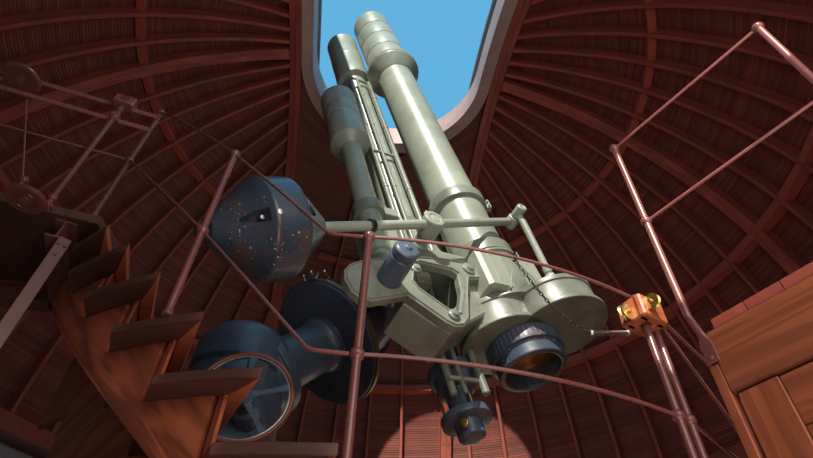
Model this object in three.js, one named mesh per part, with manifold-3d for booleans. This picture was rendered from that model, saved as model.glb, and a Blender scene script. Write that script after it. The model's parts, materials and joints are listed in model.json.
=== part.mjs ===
// Observatory dome: a round masonry drum, a timber ribbed dome that turns on it, and the
// double refractor, pier, curved stair, railings and stages that stand inside it.
// Millimetres, +Z up, origin on the ground at the dome's axis, the slit opening toward -Y.
import * as THREE from 'three';
import { mergeVertices } from 'three/addons/utils/BufferGeometryUtils.js';
import Module from 'manifold-3d';

const wasm = await Module();
wasm.setup();

// Driving dimensions of the building
const SPRING_Z = 3900;          // height of the dome's centre above the ground
const RIB_IN = 4000;            // radius of the ribs' inner edges
const LINING_IN = 4130;         // inner face of the boarded shell
const SHELL_OUT = 4250;         // outer face of the shell
const RIB_COUNT = 54;           // rib places in the full circle
const RIB_WIDE = 40;
const MAIN_RIB_WIDE = 130;
const WALL_IN = 3950;
const WALL_OUT = 4400;
const WALL_TOP = 3500;
const CORNICE_OUT = 4480;
const FLOOR_TOP = 200;
const GAP = 0.3;                // clearance between pieces that touch

// Driving dimensions of the slit
const SLIT_HALF = 1060;
const TRIM_OUT = 1198;          // outer side of the curved slit board
const BEAM_IN = 1200;
const BEAM_OUT = 1340;
const SLIT_END_Y = 60;          // centre of the rounded end
const SLIT_FOOT = 9;            // elevation in degrees where the slit starts

// Driving dimensions of the observing floor, stair and stages, heights above the ground
const DECK_TOP = SPRING_Z - 2100;
const RAIL_RHO = 2000;
const STAIR_OUT = 2000;
const TREAD_LONG = 620;
const TREAD_RISE = 200;
const TREAD_THICK = 32;
const TREAD_COUNT = 6;
const FIRST_NOSE = -6.2;        // angle of the first nose's outer end
const NOSE_PITCH = 6.36;        // degrees from one nose to the next
const NOSE_BEARING = -24.6;     // way the first nose runs inward, from +Y toward +X
const NOSE_TURN = 3.3;          // change of that bearing from one nose to the next
const NOSING = 45;              // overhang of a nose in front of its riser
const RISER_THICK = 20;
const STAGE_TOP = SPRING_Z - 730;
const SIDE_STAGE_TOP = SPRING_Z - 1450;
const SIDE_BEAM = 24.8;         // angle of the side stage's near beam
const SIDE_BEAM_WIDE = 45;
const POST_R = 13;
const RAIL_R = 7;
const BALL_R = 21;

// Driving dimensions of the telescope
const LATITUDE = 47;
const NORTH = 62;               // azimuth of the pole from +Y toward +X
const TUBE_OFFSET = 963;        // main tube's axis from the polar axis
const DEC_FLANGE_Y = -520;      // face of the declination flange that carries the tubes
const MAIN_R = 170;
const MAIN_CAP_R = 205;
const MAIN_SIDES = 28;
const PIER = [-800, -420];
const PIER_R = 270;
const PIER_FOOT_R = 400;

// Driving dimensions of the wall's fittings and of the shutters
const WALL_STEP = 6;
const DOOR_HALF = 475;
const DOOR_TOP = FLOOR_TOP + 2050;
const TRACK_RHO = 4110;
const TRACK_TOP = WALL_TOP + 170;
const RING_LOW = SPRING_Z - 170;
const WHEEL_R = 60;
const RISE_STEPS = 9;
const LEAF_IN = 4352;
const LEAF_OUT = 4390;
const LEAF_FROM = 12;
const LEAF_TO = 116;
const LEAF_STEPS = 13;
const LEAF_EDGE = 1040;         // half the clear width between the parted leaves
const LEAF_WIDE = 1150;

const rad = THREE.MathUtils.degToRad;
const V = (x, y, z) => new THREE.Vector3(x, y, z);

// Solids

function solid(geometry, matrix) {
  const g = geometry.clone();
  if (matrix) g.applyMatrix4(matrix);
  g.deleteAttribute('normal');
  g.deleteAttribute('uv');
  const m = mergeVertices(g, 1e-3);
  const mesh = new wasm.Mesh({
    numProp: 3,
    vertProperties: new Float32Array(m.attributes.position.array),
    triVerts: new Uint32Array(m.index.array),
  });
  return new wasm.Manifold(mesh);
}

const join = (solids) => solids.reduce((a, b) => a.add(b));
const cut = (body, tools) => tools.reduce((a, b) => a.subtract(b), body);

function toGeometry(body) {
  const m = body.getMesh();
  const g = new THREE.BufferGeometry();
  g.setAttribute('position', new THREE.BufferAttribute(new Float32Array(m.vertProperties), 3));
  g.setIndex(new THREE.BufferAttribute(new Uint32Array(m.triVerts), 1));
  g.computeVertexNormals();
  return g;
}

const move = (x, y, z) => new THREE.Matrix4().makeTranslation(x, y, z);

function box(x0, x1, y0, y1, z0, z1, matrix) {
  const g = new THREE.BoxGeometry(x1 - x0, y1 - y0, z1 - z0);
  g.applyMatrix4(move((x0 + x1) / 2, (y0 + y1) / 2, (z0 + z1) / 2));
  return solid(g, matrix);
}

// A bar of round section between two points
function bar(a, b, r, sides = 8, rEnd = r) {
  const length = a.distanceTo(b);
  const g = new THREE.CylinderGeometry(rEnd, r, length, sides);
  const q = new THREE.Quaternion().setFromUnitVectors(V(0, 1, 0), b.clone().sub(a).normalize());
  g.applyMatrix4(new THREE.Matrix4().makeRotationFromQuaternion(q));
  g.applyMatrix4(move((a.x + b.x) / 2, (a.y + b.y) / 2, (a.z + b.z) / 2));
  return solid(g);
}

// A flat-sided bar of rectangular section between two points, its wide side standing up
function flatBar(a, b, wide, deep, across) {
  const along = b.clone().sub(a);
  const length = along.length();
  along.normalize();
  const side = across ? across.clone() : V(along.y, -along.x, 0).normalize();
  const up = side.clone().cross(along);
  const basis = new THREE.Matrix4().makeBasis(side, along, up);
  const centre = a.clone().add(b).multiplyScalar(0.5);
  basis.setPosition(centre);
  return solid(new THREE.BoxGeometry(wide, length, deep), basis);
}

function ball(p, r) {
  return solid(new THREE.SphereGeometry(r, 8, 4), move(p.x, p.y, p.z));
}

// A turned shape about Z from a closed list of [radius, height]
function turned(profile, sides) {
  const g = new THREE.LatheGeometry(profile.map(([r, h]) => new THREE.Vector2(r, h)), sides);
  g.applyMatrix4(new THREE.Matrix4().makeRotationX(Math.PI / 2));
  return solid(g);
}

// A flat outline in X and Y raised from z0 to z1
function raised(points, z0, z1, matrix) {
  const shape = new THREE.Shape(points.map(([x, y]) => new THREE.Vector2(x, y)));
  const g = new THREE.ExtrudeGeometry(shape, { depth: z1 - z0, bevelEnabled: false });
  g.applyMatrix4(move(0, 0, z0));
  return solid(g, matrix);
}

// Angle about the dome's axis, from -Y and positive toward +X
function polar(rho, deg, z) {
  return V(rho * Math.sin(rad(deg)), -rho * Math.cos(rad(deg)), z);
}

function arcPoints(rho, from, to, steps) {
  const out = [];
  for (let i = 0; i <= steps; i += 1) {
    const p = polar(rho, from + (to - from) * i / steps, 0);
    out.push([p.x, p.y]);
  }
  return out;
}

// A flat sector of a ring, raised from z0 to z1
function sector(rIn, rOut, from, to, z0, z1, steps) {
  const inner = arcPoints(rIn, from, to, steps).reverse();
  return raised([...arcPoints(rOut, from, to, steps), ...inner], z0, z1);
}

// The assembly

const dome = new THREE.Group();
const observatory = new THREE.Group();
const telescope = new THREE.Group();
const polarPart = new THREE.Group();
observatory.add(dome, telescope, polarPart);

const FINISH = {
  render: [0xd9d3c4, 0.9, 0],
  concrete: [0x9a958c, 0.9, 0],
  timber: [0x6e2b18, 0.6, 0],
  darkTimber: [0x3a1c14, 0.6, 0],
  trimTimber: [0xa5695a, 0.6, 0],
  zinc: [0x8d9496, 0.45, 0.8],
  pipe: [0x6b3530, 0.4, 0.1],
  greenPaint: [0x8f9683, 0.45, 0.1],
  greyPaint: [0x3d4a52, 0.45, 0.1],
  blackIron: [0x1e2226, 0.5, 0.3],
};

function add(group, name, body, finish) {
  const [color, roughness, metalness] = FINISH[finish];
  const material = new THREE.MeshStandardMaterial({ color, roughness, metalness });
  const mesh = new THREE.Mesh(toGeometry(body), material);
  mesh.name = name;
  group.add(mesh);
  return mesh;
}

// Wall, floor and door

function wall() {
  const edge = 12;
  const hair = 0.003;
  for (const [name, from, to] of [['right_wall', edge, 180], ['left_wall', 180, 360 - edge]]) {
    const steps = Math.round((to - from) / WALL_STEP);
    add(observatory, name, sector(WALL_IN, WALL_OUT, from + hair, to - hair, 0, WALL_TOP, steps), 'render');
  }
  const front = sector(WALL_IN, WALL_OUT, -edge + hair, edge - hair, 0, WALL_TOP, 4);
  const opening = DOOR_HALF + 70;
  const doorway = box(-opening, opening, -5000, 0, -1, DOOR_TOP + 70);
  add(observatory, 'front_wall', front.subtract(doorway), 'render');
}

function door() {
  const yIn = -4230;
  const yOut = -4330;
  const w = DOOR_HALF + 70 - GAP;
  const outer = box(-w, w, yOut, yIn, 0, DOOR_TOP + 70 - GAP);
  const hole = box(-DOOR_HALF, DOOR_HALF, yOut - 1, yIn + 1, FLOOR_TOP, DOOR_TOP);
  add(observatory, 'door_frame', outer.subtract(hole), 'darkTimber');
  const leaf = box(-DOOR_HALF + 4, DOOR_HALF - 4, -4310, -4260, FLOOR_TOP + GAP, DOOR_TOP - 4);
  const knob = bar(V(DOOR_HALF - 80, -4300, 1250), V(DOOR_HALF - 80, -4360, 1250), 24, 10);
  add(observatory, 'door_leaf', leaf.add(knob), 'timber');
}

function floors() {
  const edge = WALL_IN - 2 * GAP;
  const slab = turned([[0, 0], [edge, 0], [edge, FLOOR_TOP], [0, FLOOR_TOP]], 60);
  const half = PIER_FOOT_R + GAP;
  const foot = box(PIER[0] - half, PIER[0] + half, PIER[1] - half, PIER[1] + half, -1, FLOOR_TOP + 1);
  add(observatory, 'room_floor', slab.subtract(foot), 'concrete');
  const deckThick = 90;
  const drum = [[1780, FLOOR_TOP + GAP], [1960, FLOOR_TOP + GAP], [1960, DECK_TOP - deckThick - GAP],
    [1780, DECK_TOP - deckThick - GAP]];
  add(observatory, 'podium_wall', turned([...drum, drum[0]], 48), 'render');
  const hole = new THREE.CylinderGeometry(PIER_R + 25, PIER_R + 25, 400, 24);
  hole.applyMatrix4(new THREE.Matrix4().makeRotationX(Math.PI / 2));
  const deck = turned([[0, DECK_TOP - deckThick], [2060, DECK_TOP - deckThick], [2060, DECK_TOP],
    [0, DECK_TOP]], 48);
  const opening = solid(hole, move(PIER[0], PIER[1], DECK_TOP - 50));
  add(observatory, 'observing_floor', deck.subtract(opening), 'timber');
}

// The ring on the wall and the track that the dome turns on

function wallHead() {
  const profile = [[WALL_IN, WALL_TOP + GAP], [CORNICE_OUT, WALL_TOP + GAP], [CORNICE_OUT, WALL_TOP + 90],
    [TRACK_RHO + 40, TRACK_TOP - 40], [TRACK_RHO + 40, TRACK_TOP], [TRACK_RHO - 40, TRACK_TOP],
    [WALL_IN, WALL_TOP + 90]];
  add(observatory, 'wall_head_with_track', turned([...profile, profile[0]], 60), 'concrete');
}

function domeRing() {
  const profile = [[3985, RING_LOW], [4235, RING_LOW], [4235, RING_LOW - 60], [4262, RING_LOW - 60],
    [4262, SPRING_Z], [3985, SPRING_Z]];
  const ring = turned([...profile, profile[0]], RIB_COUNT);
  const wheels = [];
  for (let deg = 15; deg < 360; deg += 30) {
    const hub = TRACK_TOP + GAP + WHEEL_R;
    wheels.push(bar(polar(TRACK_RHO - 22, deg, hub), polar(TRACK_RHO + 22, deg, hub), WHEEL_R, 10));
  }
  add(dome, 'dome_ring_with_wheels', join([ring, ...wheels]), 'timber');
}

// The shell of the dome, cut along the slit into four pieces

function shellSolid(rIn, rOut) {
  const profile = [];
  for (let i = 0; i <= RISE_STEPS; i += 1) {
    const a = rad(90 * i / RISE_STEPS);
    profile.push([rOut * Math.cos(a), rOut * Math.sin(a)]);
  }
  profile[RISE_STEPS][0] = 0;
  for (let i = RISE_STEPS; i >= 0; i -= 1) {
    const a = rad(90 * i / RISE_STEPS);
    profile.push([i === RISE_STEPS ? 0 : rIn * Math.cos(a), rIn * Math.sin(a)]);
  }
  profile.push(profile[0]);
  return turned(profile, RIB_COUNT).rotate([0, 0, 180 / RIB_COUNT]).translate([0, 0, SPRING_Z + GAP]);
}

// Plan outline of the slit: straight sides from the front and a half round at the far end
function slitOutline(half, front) {
  const points = [[half, front]];
  for (let deg = 0; deg <= 180; deg += 10) {
    points.push([half * Math.cos(rad(deg)), SLIT_END_Y + half * Math.sin(rad(deg))]);
  }
  points.push([-half, front]);
  return points;
}

function shells() {
  const whole = shellSolid(LINING_IN, SHELL_OUT);
  const far = 5000;
  const low = SPRING_Z - 10;
  const high = SPRING_Z + far;
  const footZ = SPRING_Z + SHELL_OUT * Math.sin(rad(SLIT_FOOT));
  add(dome, 'left_shell', whole.intersect(box(-far, -BEAM_IN, -far, far, low, high)), 'zinc');
  add(dome, 'right_shell', whole.intersect(box(BEAM_IN, far, -far, far, low, high)), 'zinc');
  const middle = whole.intersect(box(-BEAM_IN + GAP, BEAM_IN - GAP, -far, far, low, high));
  const opening = raised(slitOutline(TRIM_OUT, -far), footZ, high);
  const back = middle.intersect(box(-far, far, 0, far, low, high)).subtract(raised(
    slitOutline(TRIM_OUT, -far), low, high));
  add(dome, 'back_shell', back, 'zinc');
  const front = middle.intersect(box(-far, far, -far, -1000, low, footZ - GAP)).subtract(opening);
  add(dome, 'front_shell_under_slit', front, 'zinc');
  const hollow = raised(slitOutline(SLIT_HALF, -far - 1), footZ - 1, high + 1);
  const layer = shellSolid(RIB_IN - 30, SHELL_OUT + 90);
  const trim = layer.intersect(raised(slitOutline(TRIM_OUT - 0.5, -far), footZ, high)).subtract(hollow);
  add(dome, 'slit_board', trim, 'trimTimber');
}

// A curved beam in a plane of constant X, from the front foot over the top to the back foot
function archBeam(x0, x1, rIn, rOut, steps) {
  const points = [];
  for (let i = 0; i <= steps; i += 1) {
    const a = Math.PI * i / steps;
    points.push([rOut * Math.cos(a), rOut * Math.sin(a)]);
  }
  for (let i = steps; i >= 0; i -= 1) {
    const a = Math.PI * i / steps;
    points.push([rIn * Math.cos(a), rIn * Math.sin(a)]);
  }
  const toYZ = new THREE.Matrix4().makeBasis(V(0, 1, 0), V(0, 0, 1), V(1, 0, 0));
  return raised(points, x0, x1, toYZ).translate([0, 0, SPRING_Z + GAP]);
}

function slitBeams() {
  const rIn = 3780;
  const rOut = 3880;
  add(dome, 'left_slit_beam', archBeam(-BEAM_OUT, -BEAM_IN, rIn, rOut, 24), 'timber');
  add(dome, 'right_slit_beam', archBeam(BEAM_IN, BEAM_OUT, rIn, rOut, 24), 'timber');
}

// Radius at an elevation of the flat facets that span one rise step
function facetRadius(r, elevation) {
  const step = 90 / RISE_STEPS;
  const middle = (Math.floor(elevation / step) + 0.5) * step;
  return r * Math.cos(rad(step / 2)) / Math.cos(rad(elevation - middle));
}

// One meridian rib standing at the given azimuth from +Y toward +X, up to a last elevation
function rib(azimuth, lastElevation, width, rOut) {
  const step = 90 / RISE_STEPS;
  const stops = [];
  for (let e = 0; e < lastElevation - 0.5; e += step) stops.push(e);
  stops.push(lastElevation);
  const at = (r) => stops.map((e) => {
    const reach = facetRadius(r, e);
    return [reach * Math.cos(rad(e)), reach * Math.sin(rad(e))];
  });
  const inner = at(RIB_IN).filter((p, i) => i % 2 === 0 || i === stops.length - 1);
  const points = [...at(rOut), ...inner.reverse()];
  const stand = new THREE.Matrix4().makeBasis(V(1, 0, 0), V(0, 0, 1), V(0, -1, 0));
  const turn = new THREE.Matrix4().makeRotationZ(Math.PI / 2 - rad(azimuth));
  return raised(points, -width / 2, width / 2, turn.multiply(stand)).translate([0, 0, SPRING_Z + GAP]);
}

// A ring of blocks between the ribs at one elevation, over a range of azimuths from +Y
function blocks(elevation, tall, deep, from, to) {
  const mid = LINING_IN - 24 - deep / 2;
  const z = SPRING_Z + mid * Math.sin(rad(elevation));
  const rOut = Math.sqrt((LINING_IN - 16) ** 2 - (z + tall / 2 - SPRING_Z) ** 2);
  const steps = Math.round((to - from) / (360 / RIB_COUNT));
  return sector(rOut - deep, rOut, 180 - to, 180 - from, z - tall / 2, z + tall / 2, steps);
}

function ribs() {
  const pitch = 360 / RIB_COUNT;
  const rOut = LINING_IN - 2;
  const stopAt = BEAM_OUT + GAP;
  for (const side of [1, -1]) {
    const solids = [];
    for (let k = 0; k < RIB_COUNT / 2; k += 1) {
      const azimuth = 90 + pitch * (k - (RIB_COUNT / 2 - 1) / 2);
      const reach = RIB_IN * Math.sin(rad(azimuth));
      if (reach > stopAt + 60) {
        const last = Math.acos(Math.min(1, stopAt / reach)) * 180 / Math.PI;
        const main = Math.abs(azimuth - 90) < 1;
        solids.push(rib(side * azimuth, last, main ? MAIN_RIB_WIDE : RIB_WIDE, main ? rOut - 3 : rOut));
      }
    }
    const first = side > 0 ? 23.333 : -156.667;
    const last = side > 0 ? 156.667 : -23.333;
    solids.push(blocks(46.95, 60, 80, first + 6.667, last - 6.667));
    solids.push(blocks(22, 90, 110, first, last));
    const name = side > 0 ? 'right_ribs' : 'left_ribs';
    const cutter = box(-stopAt, stopAt, -5000, 5000, SPRING_Z - 1, SPRING_Z + 5000);
    add(dome, name, join(solids).subtract(cutter), 'timber');
  }
}

function backStuds() {
  const solids = [];
  for (const azimuth of [-10, -3.333, 3.333, 10]) solids.push(rib(azimuth, 72, 36, LINING_IN - 3));
  solids.push(blocks(46.95, 60, 80, -16.667, 16.667));
  solids.push(blocks(22, 90, 110, -16.667, 16.667));
  const clear = raised(slitOutline(TRIM_OUT + 1, -5000), SPRING_Z - 1, SPRING_Z + 5000);
  const half = BEAM_IN - 1;
  const sides = [box(half, 5000, -5000, 5000, 0, 9000), box(-5000, -half, -5000, 5000, 0, 9000)];
  add(dome, 'back_studs', cut(join(solids), [clear, ...sides]), 'timber');
}

// The two shutter leaves are straight across the slit, curved along it, and parted to the sides

// A strip that is straight along X and follows a circle about the dome's centre
function strip(x0, x1, r0, r1, from, to, steps) {
  const arc = (r) => {
    const out = [];
    for (let i = 0; i <= steps; i += 1) {
      const a = rad(from + (to - from) * i / steps);
      out.push([-r * Math.cos(a), r * Math.sin(a)]);
    }
    return out;
  };
  const toYZ = new THREE.Matrix4().makeBasis(V(0, 1, 0), V(0, 0, 1), V(1, 0, 0));
  return raised([...arc(r0), ...arc(r1).reverse()], x0, x1, toYZ).translate([0, 0, SPRING_Z]);
}

function shutters() {
  const lipIn = LEAF_IN - 20;
  for (const [name, side] of [['right_shutter', 1], ['left_shutter', -1]]) {
    const part = (a, b, r0) => {
      const [x0, x1] = side > 0 ? [a, b] : [-b, -a];
      return strip(x0, x1, r0, LEAF_OUT, LEAF_FROM, LEAF_TO, LEAF_STEPS);
    };
    const far = LEAF_EDGE + LEAF_WIDE;
    const leaf = [part(LEAF_EDGE, far, LEAF_IN), part(LEAF_EDGE, LEAF_EDGE + 30, lipIn),
      part(far - 30, far, lipIn)];
    add(dome, name, join(leaf), 'zinc');
  }
  const facet = (LEAF_TO - LEAF_FROM) / LEAF_STEPS;
  const clear = shellSolid(LINING_IN - 200, SHELL_OUT + 0.5);
  const rails = [['front_shutter_rail', LEAF_FROM + facet], ['back_shutter_rail', LEAF_TO - facet]];
  for (const [name, deg] of rails) {
    const rail = strip(-2300, 2300, lipIn - 60, lipIn - 2.4 - GAP, deg - 0.45, deg + 0.45, 1);
    const reach = lipIn - 30;
    const feet = [];
    for (const x of [-2240, -1700, 1700, 2240]) {
      const depth = Math.sqrt(SHELL_OUT ** 2 - x * x) - 40;
      const at = (r) => V(x, -r * Math.cos(rad(deg)), SPRING_Z + r * Math.sin(rad(deg)));
      feet.push(bar(at(depth), at(reach), 22, 8));
    }
    add(dome, name, join([rail, ...feet]).subtract(clear), 'zinc');
  }
}

// Pier and the fixed housing of the polar axis

const LEVEL = Math.cos(rad(LATITUDE));
const TO_POLE = V(Math.sin(rad(NORTH)) * LEVEL, Math.cos(rad(NORTH)) * LEVEL, Math.sin(rad(LATITUDE)));
const CENTRE = V(0, 0, SPRING_Z);
const alongPolar = (s) => CENTRE.clone().addScaledVector(TO_POLE, s);

function pier() {
  const top = SPRING_Z - 560;
  const shoulder = top - 200;
  const profile = [[0, 0], [PIER_FOOT_R, 0], [PIER_FOOT_R, 500], [PIER_R, 700], [PIER_R, shoulder]];
  for (let i = 1; i <= 4; i += 1) {
    const a = rad(90 * i / 4);
    profile.push([i === 4 ? 0 : PIER_R * Math.cos(a), shoulder + 200 * Math.sin(a)]);
  }
  const column = turned(profile, 24).translate([PIER[0], PIER[1], 0]);
  const housing = bar(alongPolar(-1150), alongPolar(-640), 165, 20);
  const collar = bar(alongPolar(-1130), alongPolar(-1070), 256, 24);
  const barrel = bar(alongPolar(-1320), alongPolar(-1070), 240, 24);
  const shaft = bar(V(-665, -500, SPRING_Z - 1220), V(-665, -800, SPRING_Z - 1220), 45, 12);
  const socket = bar(V(-665, -600, SPRING_Z - 1220), V(-665, -770, SPRING_Z - 1220), 70, 14);
  const all = [column, housing, collar, barrel, shaft, socket];
  add(observatory, 'pier_with_polar_housing', join(all), 'greyPaint');
}

// Slow-motion handwheel on the front of the pier
function handwheel() {
  const hub = V(-665, -860, SPRING_Z - 1220);
  const ring = new THREE.TorusGeometry(218, 15, 6, 28);
  ring.applyMatrix4(new THREE.Matrix4().makeRotationX(Math.PI / 2));
  const solids = [solid(ring, move(hub.x, hub.y, hub.z))];
  for (let k = 0; k < 5; k += 1) {
    const a = rad(90 + 72 * k);
    const out = V(hub.x + 214 * Math.cos(a), hub.y, hub.z + 214 * Math.sin(a));
    solids.push(flatBar(hub, out, 14, 26, V(0, 1, 0)));
  }
  solids.push(bar(V(hub.x, -800 - GAP, hub.z), V(hub.x, -900, hub.z), 42, 14));
  add(observatory, 'handwheel', join(solids), 'pipe');
}

// Parts that turn on the polar axis: Z along the axis toward the pole, -Y toward the tubes

const U = V(-0.229, 0.088, 0.969).normalize();
const D = TO_POLE.clone().cross(U).normalize();
if (D.y > 0) D.negate();

function polarBody() {
  const z = TO_POLE.clone();
  const y = D.clone().negate();
  const x = y.clone().cross(z).normalize();
  polarPart.applyMatrix4(new THREE.Matrix4().makeBasis(x, y, z).setPosition(CENTRE));
  const disc = bar(V(0, 0, -620), V(0, 0, -550), 420, 36);
  const rim = bar(V(0, 0, -600), V(0, 0, -570), 432, 36);
  const neck = bar(V(0, 0, -640 + GAP), V(0, 0, -560), 190, 20);
  add(polarPart, 'hour_circle', join([disc, rim, neck]), 'blackIron');
  const trunk = bar(V(0, 0, -550 + GAP), V(0, 0, -120), 260, 20, 170);
  const sleeve = bar(V(0, 330, 0), V(0, DEC_FLANGE_Y, 0), 165, 20);
  const flange = bar(V(0, DEC_FLANGE_Y + 40, 0), V(0, DEC_FLANGE_Y, 0), 235, 24);
  const backCap = bar(V(0, 250, 0), V(0, 390, 0), 200, 20);
  add(polarPart, 'declination_head', join([trunk, sleeve, flange, backCap]), 'greyPaint');
}

// Parts that turn on the declination axis: Z along the tubes, Y along the declination axis

function tubes() {
  const x = D.clone().negate().cross(U).normalize();
  telescope.applyMatrix4(new THREE.Matrix4().makeBasis(x, D.clone().negate(), U).setPosition(CENTRE));
  const at = (name, cx, y, profile, sides, finish) => {
    add(telescope, name, turned(profile, sides).translate([cx, y - TUBE_OFFSET, 0]), finish);
  };
  at('main_tube', 160, 0, [[0, -900], [MAIN_R, -900], [MAIN_R, 2180], [255, 2300], [255, 2360], [0, 2360]],
    MAIN_SIDES, 'greenPaint');
  at('main_dew_cap', 160, 0, [[185, 2360 + GAP], [MAIN_CAP_R, 2360 + GAP], [MAIN_CAP_R, 3565], [185, 3565],
    [185, 2360 + GAP]], MAIN_SIDES, 'greenPaint');
  at('second_tube', -100, 300, [[0, -620], [120, -620], [120, 2480], [170, 2480], [170, 3450], [150, 3450],
    [150, 2600], [0, 2600]], 24, 'greenPaint');
  at('guide_tube', -425, 200, [[0, -300], [80, -300], [80, 900], [155, 960], [155, 1700], [138, 1700],
    [138, 1100], [0, 1100]], 24, 'greyPaint');
}

// Long rods that run beside the tubes: x, y from the main tube's axis, radius
const RODS = [[-235, 175, 20], [-180, 150, 14], [-60, 145, 22]];

function rodSolids(low, high, grow) {
  return RODS.map(([x, y, r]) => bar(V(x, y - TUBE_OFFSET, low), V(x, y - TUBE_OFFSET, high), r + grow, 8));
}

// A round disc or drum along the tubes, centred on x and y from the main tube's axis
function lobe(x, y, r, z0, z1, sides = 24) {
  return turned([[0, z0], [r, z0], [r, z1], [0, z1]], sides).translate([x, y - TUBE_OFFSET, 0]);
}

// Two-lobed breech casting, its neck and the box above it
function breechBody(grow) {
  const y0 = -TUBE_OFFSET;
  return join([
    lobe(370, -130, 250 + grow, -1010 - grow, -830 + grow),
    lobe(120, 60, 235 + grow, -1010 - grow, -830 + grow),
    lobe(370, -130, 262 + grow, -1010 - grow, -985 + grow),
    lobe(120, 60, 247 + grow, -1010 - grow, -985 + grow),
    lobe(160, 0, 212 + grow, -860, -500 + grow, MAIN_SIDES),
    box(-60 - grow, 380 + grow, y0 - 190 - grow, y0 + 175 + grow, -831, -520 + grow),
  ]);
}

function cradle() {
  const y0 = -TUBE_OFFSET;
  // Saddle between the declination flange and the tubes
  const saddle = box(-470, 330, y0 + 190, y0 + 375, -560, 160);
  const shaft = bar(V(0, y0 + 300, 0), V(0, DEC_FLANGE_Y - GAP, 0), 200, 20);
  const tubeHoles = [
    lobe(160, 0, MAIN_R + GAP, -2000, 3000, MAIN_SIDES),
    lobe(-100, 300, 120 + GAP, -2000, 3000),
    lobe(-425, 200, 80 + GAP, -2000, 3000),
  ];
  const bands = [];
  for (const z of [-480, 60]) {
    bands.push(lobe(160, 0, MAIN_R + 28, z, z + 90, MAIN_SIDES));
    bands.push(lobe(-425, 200, 108, z, z + 90, 20));
    bands.push(box(-400, 330, y0 + 130, y0 + 438, z, z + 90));
  }
  // Front casting: an oval plate, an arm with a lug, and a web with a three-cornered opening
  const along = (points, ya, yb) => {
    const toXZ = new THREE.Matrix4().makeBasis(V(1, 0, 0), V(0, 0, 1), V(0, -1, 0));
    return raised(points, -yb, -ya, toXZ);
  };
  const plate = along([[-880, -930], [-860, -850], [-800, -790], [-700, -740], [-400, -640], [-110, -600],
    [-20, -640], [-20, -700], [-130, -740], [-240, -1040], [-340, -1110], [-430, -1060], [-560, -960],
    [-640, -990], [-760, -1040], [-850, -1010]], y0 - 120, y0 - 70);
  const opening = along([[-200, -720], [-300, -1020], [-480, -880], [-440, -700]], y0 - 130, y0 - 20);
  const web = along([[-560, -960], [-430, -1060], [-340, -1110], [-240, -1040], [-20, -900], [-20, -480],
    [-400, -480]], y0 - 70, y0 + 165);
  const webHole = along([[-460, -900], [-340, -1000], [-120, -800], [-150, -560], [-400, -560]], y0 - 30,
    y0 + 260);
  const tie = box(-330, -230, y0 + 40, y0 + 240, -640, -400);
  const body = join([saddle, shaft, ...bands, plate.subtract(opening), web.subtract(webHole), tie]);
  const holes = [...tubeHoles, ...rodSolids(-2000, 3000, GAP), breechBody(GAP)];
  add(telescope, 'tube_cradle', cut(body, holes), 'greenPaint');
  const weight = bar(V(-650, y0 - 120 - GAP, -880), V(-650, y0 - 340, -880), 62, 18);
  add(telescope, 'small_balance_weight', weight, 'greyPaint');
}

function breech() {
  const bore = lobe(160, 0, MAIN_R + GAP, -900 - GAP, 0, MAIN_SIDES);
  const holes = [bore, ...rodSolids(-2000, 3000, GAP)];
  add(telescope, 'breech_flange', cut(breechBody(0), holes), 'greenPaint');
  const ring = join([lobe(215, 40, 205, -1100, -1010 - GAP), lobe(215, 40, 185, -1175, -1099)]);
  add(telescope, 'plate_holder_ring', ring, 'blackIron');
  const tail = join([lobe(-100, 300, 72, -1150, -620 - GAP, 20), lobe(-100, 300, 130, -1075, -1020, 20),
    lobe(-100, 300, 105, -1150, -1070, 20), lobe(-100, 300, 70, -1420, -1140, 16),
    lobe(-100, 300, 130, -1330, -1290, 20)]);
  add(telescope, 'second_tube_tail', tail, 'greyPaint');
}

// Relief lever with its heavy counterweight, in a plane across the declination axis
function relief() {
  const y = -TUBE_OFFSET - 225;
  const left = V(-1020, y, -745);
  const right = V(330, y, -210);
  const boss = V(-350, y, -480);
  const rod = bar(left, right, 26, 12);
  const bossBody = bar(V(boss.x, y + 70, boss.z), V(boss.x, y - 45, boss.z), 62, 18);
  const stem = bar(V(boss.x, y + 155 - GAP, boss.z), V(boss.x, y + 60, boss.z), 40, 12);
  const endBoss = bar(V(right.x, y + 40, right.z), V(right.x, y - 40, right.z), 42, 16);
  add(telescope, 'relief_lever', join([rod, bossBody, stem, endBoss]), 'greenPaint');
  const linkTop = V(right.x + 10, y - 62, right.z - 50);
  const linkLow = V(right.x + 85, y + 20, -700);
  const link = bar(V(right.x, y - 40 - GAP - 45, right.z), V(right.x, y - 40 - GAP, right.z), 34, 14);
  const lug = bar(V(linkLow.x, y + 20, -660), V(linkLow.x, y + 20, -830 + GAP), 30, 12);
  add(telescope, 'relief_link', join([link, bar(linkTop, linkLow, 22, 12), lug,
    bar(V(right.x, y - 62, right.z), linkTop, 20, 10)]), 'greenPaint');
  const axis = right.clone().sub(left).normalize();
  const p = (t) => left.clone().addScaledVector(axis, -t);
  const cone = (t0, r0, t1, r1) => bar(p(t0), p(t1), r0, 28, r1);
  const weight = join([cone(GAP, 55, 170, 195), cone(169.9, 195, 190, 218), cone(190, 218, 330, 222),
    cone(330, 222, 520, 60), cone(519, 60, 560, 30)]);
  add(telescope, 'main_counterweight', weight, 'blackIron');
}

function rods() {
  const y0 = -TUBE_OFFSET;
  const solids = rodSolids(-1270, 2250, 0);
  for (const z of [900, 2226, -1200]) solids.push(box(-255, -40, y0 + 138, y0 + 160, z, z + 24));
  add(telescope, 'control_rods', join(solids), 'greenPaint');
}

// Curved stair, stages and railings

const treadTop = (k) => DECK_TOP + TREAD_RISE * (k + 1) - 10;

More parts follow.
